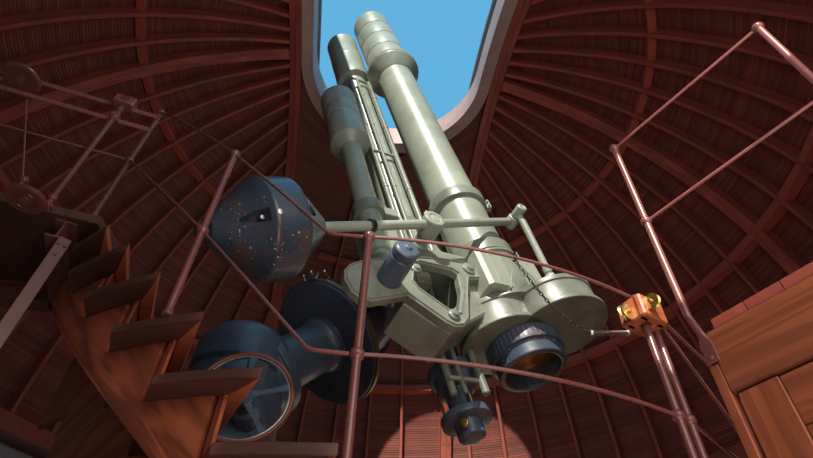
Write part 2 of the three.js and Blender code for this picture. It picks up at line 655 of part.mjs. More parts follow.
// A point on the plan of nose line k, so far inward and so far back up the stair
function nosePoint(k, inward, back) {
  const start = polar(STAIR_OUT, FIRST_NOSE - NOSE_PITCH * k, 0);
  const a = rad(NOSE_BEARING + NOSE_TURN * k);
  const along = [Math.sin(a), Math.cos(a)];
  return [start.x + inward * along[0] - back * along[1], start.y + inward * along[1] + back * along[0]];
}

// The point where that line crosses a circle about the dome's axis
function noseAt(k, back, rho) {
  const [x, y] = nosePoint(k, 0, back);
  const a = rad(NOSE_BEARING + NOSE_TURN * k);
  const b = x * Math.sin(a) + y * Math.cos(a);
  return nosePoint(k, -b - Math.sqrt(b * b - x * x - y * y + rho * rho), back);
}

// A four-sided piece of the stair between two nose lines
function stairPart(k, from, to, inward, reach, z0, z1) {
  const points = [nosePoint(k, inward, from), nosePoint(k, reach, from), nosePoint(k + 1, reach, to),
    nosePoint(k + 1, inward, to)];
  return raised(points, z0, z1);
}

const BEHIND_RISER = NOSING + RISER_THICK;
const STRINGER_OUT = 1920;
const LAST_BACK = 10;           // the top tread ends before the steel post

function stair() {
  const circle = turned([[0, 0], [STAIR_OUT, 0], [STAIR_OUT, SPRING_Z], [0, SPRING_Z]], 180);
  for (let k = 0; k < TREAD_COUNT; k += 1) {
    const top = treadTop(k);
    const back = k === TREAD_COUNT - 1 ? LAST_BACK : BEHIND_RISER;
    const tread = stairPart(k, 0, back, -200, TREAD_LONG, top - TREAD_THICK, top).intersect(circle);
    const [x, y] = noseAt(k, NOSING, STRINGER_OUT);
    const [u, v] = noseAt(k, BEHIND_RISER, STRINGER_OUT);
    const below = k === 0 ? DECK_TOP + GAP : top - TREAD_RISE + GAP;
    const end = TREAD_LONG - 10;
    const plan = [[x, y], nosePoint(k, end, NOSING), nosePoint(k, end, BEHIND_RISER), [u, v]];
    const riser = raised(plan, below, top - TREAD_THICK + 1);
    add(observatory, `stair_tread_${k + 1}`, tread.add(riser), 'darkTimber');
  }
}

// Boards under the treads: the outer one follows a circle and its lower edge slopes with the stair
function stringers() {
  const lowAt = (deg) => Math.max(DECK_TOP + GAP, 2000 - 27.94 * (deg + 21.09));
  const solids = [];
  for (let deg = -8; deg > -52; deg -= 2) {
    solids.push(sector(STRINGER_OUT - 40, STRINGER_OUT, deg - 2.01, deg, lowAt(deg - 1), SPRING_Z, 1));
  }
  const board = join(solids);
  const outer = [];
  const inner = [];
  for (let k = 0; k < TREAD_COUNT; k += 1) {
    const top = treadTop(k) - TREAD_THICK - GAP;
    const back = BEHIND_RISER + GAP;
    const end = k === TREAD_COUNT - 1 ? back + 600 : back + 0.01;
    outer.push(board.intersect(stairPart(k, back, end, -300, 700, 0, top)));
    const low = Math.max(DECK_TOP + GAP, top - 380);
    const next = k === TREAD_COUNT - 1 ? 0 : back + 0.01;
    inner.push(stairPart(k, back, next, TREAD_LONG - 70, TREAD_LONG - 30, low, top));
  }
  add(observatory, 'stair_outer_stringer', join(outer), 'timber');
  add(observatory, 'stair_inner_stringer', join(inner), 'timber');
}

// The upper stage lies on two steel beams that a third one joins, on a flat bar and a post
function stages() {
  const thick = 45;
  const corners = [[-1365, -1425], [-2330, -1610], [-2330, -640], [-1290, -1010]];
  const deck = raised(corners, STAGE_TOP - thick, STAGE_TOP);
  const joist = STAGE_TOP - 100;
  const head = flatBar(V(-1345, -1400, joist), V(-1290, -1040, joist), 60, 112);
  add(observatory, 'upper_stage', join([deck, head]), 'darkTimber');
  const under = STAGE_TOP - thick - GAP;
  const flange = 88;
  const tall = 100;
  const iBeam = (x0, y0, x1, y1) => {
    const run = (wide, z0, z1) => flatBar(V(x0, y0, (z0 + z1) / 2), V(x1, y1, (z0 + z1) / 2), wide, z1 - z0);
    return join([run(flange, under - 8, under), run(flange, under - tall, under - tall + 8),
      run(8, under - tall + 4, under - 4)]);
  };
  const low = under - tall + 2;
  const foot = V(-1462, -1412, DECK_TOP + GAP);
  const flat = flatBar(foot, foot.clone().setZ(low), 50, 16, V(0.8255, 0.5644, 0).normalize());
  const post = box(-2290, -2190, -1330, -1230, FLOOR_TOP + GAP, low);
  const frame = [iBeam(-1500, -1420, -1640, -880), iBeam(-1600, -905, -2280, -905),
    iBeam(-2240, -1530, -2240, -720), flat, post];
  add(observatory, 'stage_steel_frame', join(frame), 'pipe');
}

function sideStage() {
  const top = SIDE_STAGE_TOP;
  const thick = 40;
  const from = 24.4;
  const to = 66;
  add(observatory, 'side_stage_floor', sector(2190, 3930, from, to, top, top + thick, 5), 'timber');
  const radial = (deg, z0, z1, w) => {
    const a = polar(2160, deg, (z0 + z1) / 2);
    const b = polar(3930, deg, (z0 + z1) / 2);
    return flatBar(a, b, w, z1 - z0);
  };
  for (const [name, deg] of [['side_stage_wall', SIDE_BEAM], ['side_stage_far_wall', to - 1]]) {
    const beam = radial(deg, top - 205, top - GAP, SIDE_BEAM_WIDE);
    const boarding = radial(deg, FLOOR_TOP + GAP, top - 200, 30);
    add(observatory, name, beam.add(boarding), 'timber');
  }
}

function railing(name, bars, balls, extra = []) {
  const solids = bars.map(([a, b, r]) => bar(a, b, r, 6));
  solids.push(...balls.map((p) => ball(p, BALL_R)), ...extra);
  add(observatory, name, join(solids), 'pipe');
}

const P3 = -5.6;
const P4 = 23.3;
const P4_NEXT = 24.8;            // second post beside it, where the straight panel starts
const PANEL_END = 50;
const TOP_RAIL = SPRING_Z - 1222;
const MID_RAIL = SPRING_Z - 1668;
const POST_B = -22.5;
const POST_A = -44.8;
const STAGE_END_POST = [-2160, -1570];

const railPoint = (deg, h) => polar(RAIL_RHO, deg, h);

// Level railing along the edge of the observing floor, and a straight panel with a brace beside it
function floorRailing() {
  const bars = [];
  const balls = [];
  const foot = DECK_TOP + GAP;
  for (const deg of [P3, P4, P4_NEXT, PANEL_END]) {
    bars.push([railPoint(deg, foot), railPoint(deg, TOP_RAIL), POST_R]);
    bars.push([railPoint(deg, foot), railPoint(deg, foot + 12), 27]);
    balls.push(railPoint(deg, TOP_RAIL), railPoint(deg, MID_RAIL));
  }
  const steps = 4;
  for (const h of [TOP_RAIL, MID_RAIL]) {
    for (let i = 0; i < steps; i += 1) {
      const a = P3 + (P4 - P3) * i / steps;
      const b = P3 + (P4 - P3) * (i + 1) / steps;
      bars.push([railPoint(a, h), railPoint(b, h), RAIL_R]);
    }
    bars.push([railPoint(P4_NEXT, h), railPoint(PANEL_END, h), RAIL_R]);
  }
  bars.push([railPoint(P4_NEXT, TOP_RAIL), railPoint(PANEL_END, MID_RAIL), RAIL_R]);
  const pair = flatBar(railPoint(P4, foot + 6), railPoint(P4_NEXT, foot + 6), 50, 12);
  railing('floor_railing', bars, balls, [pair]);
}

// Stair railing: level to a bend, steeper to its first post, then up to the stage
function stairRailing() {
  const bars = [];
  const balls = [];
  const start = P3 - 0.62;
  const bend = -9.4;
  const midway = -16;
  const topB = SPRING_Z - 700;
  const topA = SPRING_Z + 137;
  const drop = TOP_RAIL - MID_RAIL;
  const steps = 3;
  for (const below of [0, drop]) {
    const level = TOP_RAIL - below;
    const path = [[start, level], [bend, level + 10], [midway, (level + 10 + topB - below) / 2]];
    for (let i = 0; i <= steps; i += 1) {
      path.push([POST_B + (POST_A - POST_B) * i / steps, topB - below + (topA - topB) * i / steps]);
    }
    for (let i = 0; i + 1 < path.length; i += 1) {
      bars.push([railPoint(...path[i]), railPoint(...path[i + 1]), RAIL_R]);
    }
    balls.push(railPoint(POST_B, topB - below), railPoint(POST_A, topA - below));
  }
  const thirdTread = treadTop(2);
  bars.push([railPoint(POST_B, thirdTread + GAP), railPoint(POST_B, topB), POST_R]);
  bars.push([railPoint(POST_A, STAGE_TOP + GAP), railPoint(POST_A, topA), POST_R]);
  railing('stair_railing', bars, balls);
}

// A point beside the stage's railing line: along it from the stair post, and out toward -Y
function stagePoint(along, out, h) {
  const a = railPoint(POST_A, 0);
  const end = V(...STAGE_END_POST, 0);
  const run = end.clone().sub(a).normalize();
  const side = V(-run.y, run.x, 0);
  return a.addScaledVector(run, along).addScaledVector(side, out).setZ(h);
}

const STAGE_RUN = Math.hypot(...railPoint(POST_A, 0).sub(V(...STAGE_END_POST, 0)).toArray());

function stageRailing() {
  const mid = SPRING_Z - 309;
  const top = SPRING_Z + 112;
  const shortTop = SPRING_Z - 620;
  const shortAt = 335;
  const bars = [
    [stagePoint(STAGE_RUN, 0, STAGE_TOP + GAP), stagePoint(STAGE_RUN, 0, top), POST_R],
    [stagePoint(BALL_R + GAP, 0, mid), stagePoint(STAGE_RUN, 0, mid), RAIL_R],
    [stagePoint(shortAt, 0, STAGE_TOP + GAP), stagePoint(shortAt, 0, shortTop), POST_R - 3],
    [stagePoint(shortAt, 0, shortTop - 10), stagePoint(shortAt + 250, 0, SPRING_Z - 80), 5],
  ];
  const balls = [stagePoint(STAGE_RUN, 0, top), stagePoint(STAGE_RUN, 0, mid),
    stagePoint(shortAt, 0, shortTop)];
  railing('upper_stage_railing', bars, balls);
}

// Gear that turns the dome: two level bars on the posts, gearbox, spindle, wheel and pulley
function turningGear() {
  const upper = SPRING_Z + 65;
  const lower = SPRING_Z - 60;
  const offset = POST_R + 5;
  const barAt = (h) => flatBar(stagePoint(-14, offset, h), stagePoint(STAGE_RUN + 60, offset, h), 8, 32);
  const spindle = 164;
  const reach = 50;
  const foot = SPRING_Z - 800;
  const block = (from, to, near, far, h0, h1) => {
    const h = (h0 + h1) / 2;
    const out = (near + far) / 2;
    return flatBar(stagePoint(from, out, h), stagePoint(to, out, h), far - near, h1 - h0);
  };
  const wheel = 655;
  const pulley = stagePoint(222, 98, foot);
  const solids = [
    barAt(upper), barAt(lower),
    block(spindle - 55, spindle + 55, offset - 3, reach + 32, upper - 36, upper + 32),
    block(spindle - 20, spindle + 20, offset - 3, reach + 16, lower - 18, lower + 18),
    bar(stagePoint(spindle, reach, foot), stagePoint(spindle, reach, upper), 13, 8),
    bar(stagePoint(wheel, 40, upper - 50), stagePoint(wheel, 40, upper - 30), 92, 18),
    bar(stagePoint(wheel, 40, upper - 60), stagePoint(wheel, 40, upper + 14), 22, 10),
    bar(pulley.clone().setZ(foot - 20), pulley, 80, 18),
    bar(pulley.clone().setZ(foot - 26), pulley.clone().setZ(foot + 16), 24, 10),
    block(spindle - 18, 240, reach - 16, 106, foot - 2, foot + 12),
    block(spindle - 18, spindle + 18, 13.1, reach, STAGE_TOP - 36, STAGE_TOP - 20),
  ];
  add(observatory, 'dome_turning_gear', join(solids), 'pipe');
}

// Railing of the side stage: each post bends to a flat plate that lies on the beam's near face
function sideRailing() {
  const p5 = [845, -1982];
  const p6 = [1145, -2585];
  const top = SPRING_Z - 475;
  const mid = SPRING_Z - 951;
  const foot = SPRING_Z - 1406;
  const plateTop = foot - 62;
  const plateLow = foot - 149;
  const along = polar(1, SIDE_BEAM, 0);
  const across = V(-along.y, along.x, 0);
  const plateOff = -SIDE_BEAM_WIDE / 2 - 2 * GAP - 4;
  const bars = [];
  const balls = [];
  const plates = [];
  for (const [x, y] of [p5, p6]) {
    bars.push([V(x, y, foot), V(x, y, top), POST_R]);
    balls.push(V(x, y, top), V(x, y, mid));
    const onFace = along.clone().multiplyScalar(along.dot(V(x, y, 0))).addScaledVector(across, plateOff);
    bars.push([V(x, y, foot), onFace.clone().addScaledVector(across, -8).setZ(plateTop), POST_R - 3]);
    plates.push(flatBar(onFace.clone().setZ(plateLow), onFace.clone().setZ(plateTop + 8), 42, 8, along));
  }
  bars.push([V(...p5, top), V(...p6, top), RAIL_R]);
  bars.push([V(...p5, mid), V(...p6, mid), RAIL_R]);
  railing('side_stage_railing', bars, balls, plates);
}

const PARTS = [wall, door, floors, wallHead, domeRing, shells, slitBeams, ribs, backStuds, shutters, pier,
  handwheel, polarBody, tubes, cradle, breech, relief, rods, stair, stringers, stages, sideStage,
  floorRailing, stairRailing, stageRailing, turningGear, sideRailing];
for (const make of PARTS) make();

export default observatory;
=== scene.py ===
"""Observatory dome with its telescope: the finish of every surface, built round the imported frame.

Metres, +Z up, origin on the ground at the dome's axis, the slit opening toward -Y.
Every surface is worked out with numpy as a grid of two parameters or a section carried along a path.
"""

import json
from math import acos, atan2, cos, hypot, pi, radians, sin, sqrt

import bmesh
import bpy
import numpy as np
from mathutils import Matrix
from mathutils.geometry import tessellate_polygon


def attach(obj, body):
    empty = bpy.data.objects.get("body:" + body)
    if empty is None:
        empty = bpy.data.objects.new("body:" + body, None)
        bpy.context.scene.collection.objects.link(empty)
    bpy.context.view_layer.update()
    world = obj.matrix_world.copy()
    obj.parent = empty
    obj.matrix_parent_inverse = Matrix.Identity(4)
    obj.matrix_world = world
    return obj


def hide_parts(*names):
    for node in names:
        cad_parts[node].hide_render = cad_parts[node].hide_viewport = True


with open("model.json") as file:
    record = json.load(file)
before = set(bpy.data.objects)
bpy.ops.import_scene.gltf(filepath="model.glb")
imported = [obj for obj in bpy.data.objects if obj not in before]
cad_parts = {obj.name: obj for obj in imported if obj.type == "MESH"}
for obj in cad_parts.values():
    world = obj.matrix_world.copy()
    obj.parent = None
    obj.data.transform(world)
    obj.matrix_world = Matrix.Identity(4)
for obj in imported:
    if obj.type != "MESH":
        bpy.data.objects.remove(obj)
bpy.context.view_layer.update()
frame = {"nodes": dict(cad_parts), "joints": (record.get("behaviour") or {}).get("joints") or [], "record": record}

bl_info = {
    "name": "Observatory dome",
    "version": (1, 0, 0),
    "blender": (4, 5, 0),
    "location": "3D View > Sidebar > Observatory",
    "description": "Builds a timber observatory dome with its refractor, stair and stages",
    "category": "Add Mesh",
}

# Places taken from the frame
SPRING = 3.9
CENTRE = np.array([0.0, 0.0, SPRING])
HOUR_AXIS = np.array(frame["joints"][1]["axis"])
DECLINATION_AXIS = np.array(frame["joints"][2]["axis"])
TUBE_OFFSET = 0.963


# Sizes and colours that a user may change


def length_setting(name, description, default, least, most):
    """A length in metres that a user may change."""
    return bpy.props.FloatProperty(name=name, description=description, default=default, min=least, max=most,
                                   unit="LENGTH")


def colour_setting(name, description, default):
    """A colour that a user may change."""
    return bpy.props.FloatVectorProperty(name=name, description=description, subtype="COLOR", size=4,
                                         default=(*default, 1.0), min=0, max=1)


class ObservatorySizes(bpy.types.PropertyGroup):
    board_pitch: length_setting("Board pitch", "Height of one lining board with its groove", 0.031, 0.02, 0.2)
    rib_width: length_setting("Rib width", "Width of a common rib", 0.04, 0.02, 0.1)
    main_rib_width: length_setting("Main rib width", "Width of the two main ribs", 0.13, 0.05, 0.2)
    seam_height: length_setting("Seam height", "Height of the standing seams outside", 0.028, 0.005, 0.06)
    plank_width: length_setting("Floor plank", "Width of a plank of the observing floor", 0.12, 0.06, 0.3)
    rail_radius: length_setting("Rail radius", "Radius of a railing's thin bars", 0.0058, 0.003, 0.03)
    post_radius: length_setting("Post radius", "Radius of a railing post", 0.0125, 0.006, 0.03)


class ObservatoryColours(bpy.types.PropertyGroup):
    boards: colour_setting("Boards", "Stain of the lining boards", (0.205, 0.05, 0.032))
    ribs: colour_setting("Ribs", "Stain of ribs and beams", (0.27, 0.062, 0.038))
    planks: colour_setting("Planks", "Varnished stair planks", (0.32, 0.088, 0.038))
    treads: colour_setting("Treads", "Dark worn treads", (0.07, 0.028, 0.022))
    trim: colour_setting("Slit board", "Paint of the curved slit board", (0.42, 0.28, 0.25))
    tube: colour_setting("Tubes", "Grey-green enamel", (0.29, 0.325, 0.255))
    mount: colour_setting("Mount", "Blue-grey enamel of pier and axes", (0.07, 0.105, 0.15))
    iron: colour_setting("Counterweight", "Blue-black chipped enamel", (0.04, 0.06, 0.092))
    rail: colour_setting("Railings", "Red-brown gloss paint", (0.175, 0.06, 0.05))
    zinc: colour_setting("Zinc", "Weathered roof sheet", (0.267, 0.285, 0.291))
    masonry: colour_setting("Render", "Lime render of the wall", (0.397, 0.366, 0.31))
    concrete: colour_setting("Concrete", "Floor slab and wall head", (0.266, 0.256, 0.238))


def sizes():
    """The sizes as they are set in the scene."""
    return bpy.context.scene.observatory_sizes


def colours():
    """The colours as they are set in the scene."""
    return bpy.context.scene.observatory_colours


# Frames: an origin with three directions, which turns local points into the part's frame


def unit(v):
    """Each vector divided by its length."""
    v = np.asarray(v, float)
    return v / np.linalg.norm(v, axis=-1, keepdims=True)


class Place:
    """An origin and three unit directions. out() gives origin + x*X + y*Y + z*Z of local points."""

    def __init__(self, origin, x, y, z):
        self.origin = np.asarray(origin, float)
        self.basis = np.array([x, y, z], float)

    def out(self, points):
        return self.origin + np.asarray(points, float) @ self.basis

    def shifted(self, local):
        """The same directions at another local point."""
        return Place(self.out(local), *self.basis)


def place_along(origin, z, hint=(0, 0, 1)):
    """A Place at origin whose Z is the given direction and whose X is square to the hint."""
    z = unit(z)
    hint = np.asarray(hint, float)
    if abs(np.dot(z, hint)) > 0.98:
        hint = np.array([1.0, 0.0, 0.0])
    x = unit(np.cross(hint, z))
    return Place(origin, x, np.cross(z, x), z)


WORLD = Place((0, 0, 0), (1, 0, 0), (0, 1, 0), (0, 0, 1))
TUBE_UP = unit(np.array([-0.229, 0.088, 0.969]))
TUBE_Y = -DECLINATION_AXIS
TUBE_X = unit(np.cross(TUBE_Y, TUBE_UP))
MAIN = Place(CENTRE, TUBE_X, TUBE_Y, TUBE_UP).shifted((0, -TUBE_OFFSET, 0))
POLAR_Y = -DECLINATION_AXIS
POLAR = Place(CENTRE, unit(np.cross(POLAR_Y, HOUR_AXIS)), POLAR_Y, HOUR_AXIS)


# Surfaces. Each returns a Skin: vertices, quads, a UV in metres along and across, and a tint for each vertex.
# A face whose fourth number is -1 is a triangle.


class Skin:
    def __init__(self, points, quads, uv=None, tint=None):
        self.points = np.asarray(points, float).reshape(-1, 3)
        self.quads = np.asarray(quads, int).reshape(-1, 4)
        n = len(self.points)
        self.uv = np.zeros((n, 2)) if uv is None else np.asarray(uv, float).reshape(n, 2)
        self.tint = np.full(n, 0.5) if tint is None else np.broadcast_to(np.asarray(tint, float).ravel(), (n,))

    def placed(self, place):
        return Skin(place.out(self.points), self.quads, self.uv, self.tint)


def merged(skins):
    """All the skins in one, with the quads' numbers moved on by the vertices before them."""
    starts = np.cumsum([0] + [len(s.points) for s in skins[:-1]])
    return Skin(
        np.concatenate([s.points for s in skins]),
        np.concatenate([np.where(s.quads < 0, -1, s.quads + k) for s, k in zip(skins, starts)]),
        np.concatenate([s.uv for s in skins]),
        np.concatenate([s.tint for s in skins]),
    )


def grid_quads(rows, columns, close_rows=False, close_columns=False):
    """Quads of a grid of rows by columns, joined round where it closes."""
    number = np.arange(rows * columns).reshape(rows, columns)
    i = np.arange(rows if close_rows else rows - 1)
    j = np.arange(columns if close_columns else columns - 1)
    i2, j2 = (i + 1) % rows, (j + 1) % columns
    corner = lambda a, b: number[np.ix_(a, b)]
    return np.stack([corner(i, j), corner(i2, j), corner(i2, j2), corner(i, j2)], -1).reshape(-1, 4)


def sheet_grid(points, uv=None, tint=None, close_rows=False, close_columns=False):
    """A grid of points as a Skin, joined round where it closes."""
    points = np.asarray(points, float)
    rows, columns = points.shape[:2]
    if uv is not None:
        uv = np.asarray(uv, float).reshape(-1, 2)
    return Skin(points.reshape(-1, 3), grid_quads(rows, columns, close_rows, close_columns), uv, tint)


def slab_between(inner, outer, uv=None, tint=None):
    """A closed slab between two grids of the same size: both faces and the rim round them."""
    inner, outer = np.asarray(inner, float), np.asarray(outer, float)
    rows, columns = inner.shape[:2]
    n = rows * columns
    number = np.arange(n).reshape(rows, columns)
    rim = np.concatenate([number[0, :-1], number[:-1, -1], number[-1, :0:-1], number[:0:-1, 0]])
    nxt = np.roll(rim, -1)
    faces = np.concatenate([
        grid_quads(rows, columns)[:, ::-1],
        grid_quads(rows, columns) + n,
        np.stack([rim, nxt, nxt + n, rim + n], -1),
    ])
    points = np.concatenate([inner.reshape(-1, 3), outer.reshape(-1, 3)])
    if uv is not None:
        uv = np.tile(np.asarray(uv, float).reshape(-1, 2), (2, 1))
    if tint is not None:
        tint = np.tile(np.broadcast_to(np.asarray(tint, float), (rows, columns)).ravel(), 2)
    return Skin(points, faces, uv, tint)


def turned(profile, segments=64, place=WORLD, tint=0.5):
    """Each point (r, z) of the profile goes round Z: (r cos t, r sin t, z). Ends on the axis close to poles."""
    profile = np.asarray(profile, float)
    t = np.linspace(0, 2 * pi, segments, endpoint=False)
    r, z = profile[:, 0][None], profile[:, 1][None]
    points = np.stack(np.broadcast_arrays(np.cos(t)[:, None] * r, np.sin(t)[:, None] * r, z), -1)
    closed = np.allclose(profile[0], profile[-1])
    if closed:
        points = points[:, :-1]
    uv = np.stack(np.broadcast_arrays(t[:, None] * np.abs(r).max(), points[..., 2]), -1)
    skin = sheet_grid(points, uv, tint, close_rows=True, close_columns=closed)
    return skin.placed(place)


def rounded(profile, radius=0.004, steps=3):
    """A profile with each corner that turns sharply replaced by a small arc cut between its sides."""
    profile = np.asarray(profile, float)
    out = [profile[0]]
    for a, b, c in zip(profile[:-2], profile[1:-1], profile[2:]):
        back, on = a - b, c - b
        cut = min(radius, 0.45 * np.linalg.norm(back), 0.45 * np.linalg.norm(on))
        if cut < 1e-5 or abs(np.dot(unit(back), unit(on))) > 0.99:
            out.append(b)
            continue
        p, q = b + unit(back) * cut, b + unit(on) * cut
        for s in np.linspace(0, 1, steps + 1):
            out.append((1 - s) ** 2 * p + 2 * s * (1 - s) * b + s * s * q)
    out.append(profile[-1])
    return np.array(out)


def ring_profile(inner, outer, low, high, radius=0.003, steps=3):
    """Profile of a flat ring between two radii and two heights, its corners rounded; it closes on itself."""
    return rounded([[inner, low], [outer, low], [outer, high], [inner, high], [inner, low]], radius, steps)


def section_rect(width, height, bevel=0.0):
    """Corners of a rectangle round the origin, cut by the bevel where it has one."""
    w, h, b = width / 2, height / 2, bevel
    if b <= 0:
        return np.array([[-w, -h], [w, -h], [w, h], [-w, h]])
    return np.array([[-w + b, -h], [w - b, -h], [w, -h + b], [w, h - b],
                     [w - b, h], [-w + b, h], [-w, h - b], [-w, -h + b]])


def section_round(radius, sides=12):
    """A circle as a section: (r cos t, r sin t)."""
    t = np.linspace(0, 2 * pi, sides, endpoint=False)
    return np.stack([np.cos(t), np.sin(t)], -1) * radius


def lathe(profile, radius, segments, place=WORLD, steps=3, tint=0.5):
    """A profile with its corners rounded, turned about the place's Z."""
    return turned(rounded(profile, radius, steps), segments, place, tint)


def running_length(points):
    """The length from the first point to each point along a broken line."""
    return np.concatenate([[0], np.cumsum(np.linalg.norm(np.diff(points, axis=0), axis=1))])


def swept(path, section, side_hint, tint=0.5, closed=False, scale=None):
    """A flat section carried along a path. Its first axis stays square to the path and near side_hint."""
    path = np.asarray(path, float)
    if closed:
        tangent = np.roll(path, -1, 0) - np.roll(path, 1, 0)
    else:
        tangent = np.gradient(path, axis=0)
    tangent = unit(tangent)
    hint = np.broadcast_to(np.asarray(side_hint, float), path.shape)
    side = unit(hint - tangent * np.sum(hint * tangent, -1, keepdims=True))
    up = np.cross(tangent, side)
    section = np.asarray(section, float)
    size = np.ones(len(path)) if scale is None else np.asarray(scale, float)
    points = (path[:, None] + section[None, :, :1] * side[:, None] * size[:, None, None]
              + section[None, :, 1:] * up[:, None] * size[:, None, None])
    along = running_length(path)
    round_it = np.linspace(0, np.linalg.norm(np.roll(section, -1, 0) - section, axis=-1).sum(), len(section))
    uv = np.stack(np.broadcast_arrays(along[:, None], round_it[None]), -1)
    body = sheet_grid(points, uv, tint, close_rows=closed, close_columns=True)
    if closed:
        return body
    return capped(body, len(path), len(section))


def capped(body, rows, columns):
    """A tube of rows by columns whose two open ends are closed by fans about their middles."""
    caps = []
    for k, row in enumerate((0, rows - 1)):
        ring = np.arange(columns) + row * columns
        middle = np.full(columns, len(body.points) + k)
        caps.append(np.stack([ring, np.roll(ring, -1), middle, np.full(columns, -1)], -1))
    grid = body.points.reshape(rows, columns, 3)
    uv = body.uv.reshape(rows, columns, 2)
    ends = np.array([grid[0].mean(0), grid[-1].mean(0)])
    end_uv = np.array([uv[0].mean(0), uv[-1].mean(0)])
    tints = np.concatenate([body.tint, [body.tint[0], body.tint[-1]]])
    return Skin(np.concatenate([body.points, ends]), np.concatenate([body.quads, *caps]),
                np.concatenate([body.uv, end_uv]), tints)


def lofted(rings, uv=None, tint=0.5):
    """Rings of equal count joined one after the other, with both ends closed by fans."""
    rings = np.asarray(rings, float)
    if uv is None:
        uv = np.stack([rings[..., 2], rings[..., 0] + rings[..., 1]], -1)
    return capped(sheet_grid(rings, uv, tint, close_columns=True), *rings.shape[:2])


def rod(a, b, radius, sides=12, end_radius=None, tint=0.5):
    """A straight round bar between two points, which may taper."""
    a, b = np.asarray(a, float), np.asarray(b, float)
    z = unit(b - a)
    hint = (1, 0, 0) if abs(z[0]) < 0.9 else (0, 1, 0)
    scale = None if end_radius is None else [1, end_radius / radius]
    return swept([a, b], section_round(radius, sides), hint, tint, scale=scale)


def bricks(centres, halves, bases=None, tint=None):
    """Boxes by their centres and half sizes, each turned by its own three directions if given."""
    centres, halves = np.atleast_2d(centres).astype(float), np.atleast_2d(halves).astype(float)
    n = len(centres)
    halves = np.broadcast_to(halves, (n, 3))
    corner = np.array([[-1, -1, -1], [1, -1, -1], [1, 1, -1], [-1, 1, -1],
                       [-1, -1, 1], [1, -1, 1], [1, 1, 1], [-1, 1, 1]], float)
    local = corner[None] * halves[:, None]
    if bases is None:
        points = local + centres[:, None]
    else:
        bases = np.broadcast_to(np.asarray(bases, float), (n, 3, 3))
        points = np.einsum("nki,nij->nkj", local, bases) + centres[:, None]
    face = np.array([[0, 3, 2, 1], [4, 5, 6, 7], [0, 1, 5, 4], [1, 2, 6, 5], [2, 3, 7, 6], [3, 0, 4, 7]])
    quads = (face[None] + 8 * np.arange(n)[:, None, None]).reshape(-1, 4)
    longest = np.argmax(halves, 1)
    order = np.argsort(halves, 1)
    take = np.arange(n)[:, None]
    uv = np.stack([local[take, np.arange(8), longest[:, None]], local[take, np.arange(8), order[:, 1][:, None]]], -1)
    uv = uv + (centres @ np.array([3.1, 5.7, 7.3]))[:, None, None]
    tint = np.full(n, 0.5) if tint is None else np.broadcast_to(np.asarray(tint, float), (n,))
    return Skin(points.reshape(-1, 3), quads, uv.reshape(-1, 2), np.repeat(tint, 8))


def heads(points, normals, radius, height, sides=6, tint=0.5):
    """Bolt or rivet heads: prisms with the given number of sides and a low cap, standing on the points."""
    points, normals = np.atleast_2d(points).astype(float), np.atleast_2d(normals).astype(float)
    n = len(points)
    z = unit(np.broadcast_to(normals, points.shape))
    hint = np.where(np.abs(z[:, 2:]) < 0.9, [[0.0, 0.0, 1.0]], [[1.0, 0.0, 0.0]])
    x = unit(np.cross(hint, z))
    y = np.cross(z, x)
    t = np.linspace(0, 2 * pi, sides, endpoint=False)
    ring = np.cos(t)[None, :, None] * x[:, None] + np.sin(t)[None, :, None] * y[:, None]
    levels = [(1.0, -0.2), (1.0, 0.75), (0.8, 1.0), (0.02, 1.02)]
    rows = [points[:, None] + ring * radius * k + z[:, None] * height * h for k, h in levels]
    grid = np.stack(rows, 1)
    one = grid_quads(len(levels), sides, close_columns=True)
    per = len(levels) * sides
    quads = (one[None] + per * np.arange(n)[:, None, None]).reshape(-1, 4)
    return Skin(grid.reshape(-1, 3), quads, None, tint)


def balls(points, radius, segments=16, rings=9):
    """Round balls: (r sin a cos t, r sin a sin t, r cos a) about each point."""
    points = np.atleast_2d(points).astype(float)
    n = len(points)
    a = np.linspace(0, pi, rings)
    t = np.linspace(0, 2 * pi, segments, endpoint=False)
    shape = np.stack([np.sin(a)[:, None] * np.cos(t), np.sin(a)[:, None] * np.sin(t),
                      np.broadcast_to(np.cos(a)[:, None], (rings, segments))], -1)
    grid = points[:, None, None] + shape[None] * np.reshape(radius, (-1, 1, 1, 1))
    one = grid_quads(rings, segments, close_columns=True)
    quads = (one[None] + rings * segments * np.arange(n)[:, None, None]).reshape(-1, 4)
    return Skin(grid, quads)


def inset(outline, d):
    """Each corner of a closed outline moved inward by d along the mean of its two sides' normals."""
    outline = np.asarray(outline, float)
    on = unit(np.roll(outline, -1, 0) - outline)
    x, y = outline[:, 0], outline[:, 1]
    area = np.sum(x * np.roll(y, -1) - y * np.roll(x, -1))
    normal = np.stack([-on[:, 1], on[:, 0]], -1) * (1 if area > 0 else -1)
    back = np.roll(normal, 1, 0)
    share = 1 + np.sum(normal * back, -1, keepdims=True)
    return outline + d * (normal + back) / np.maximum(share, 0.35)


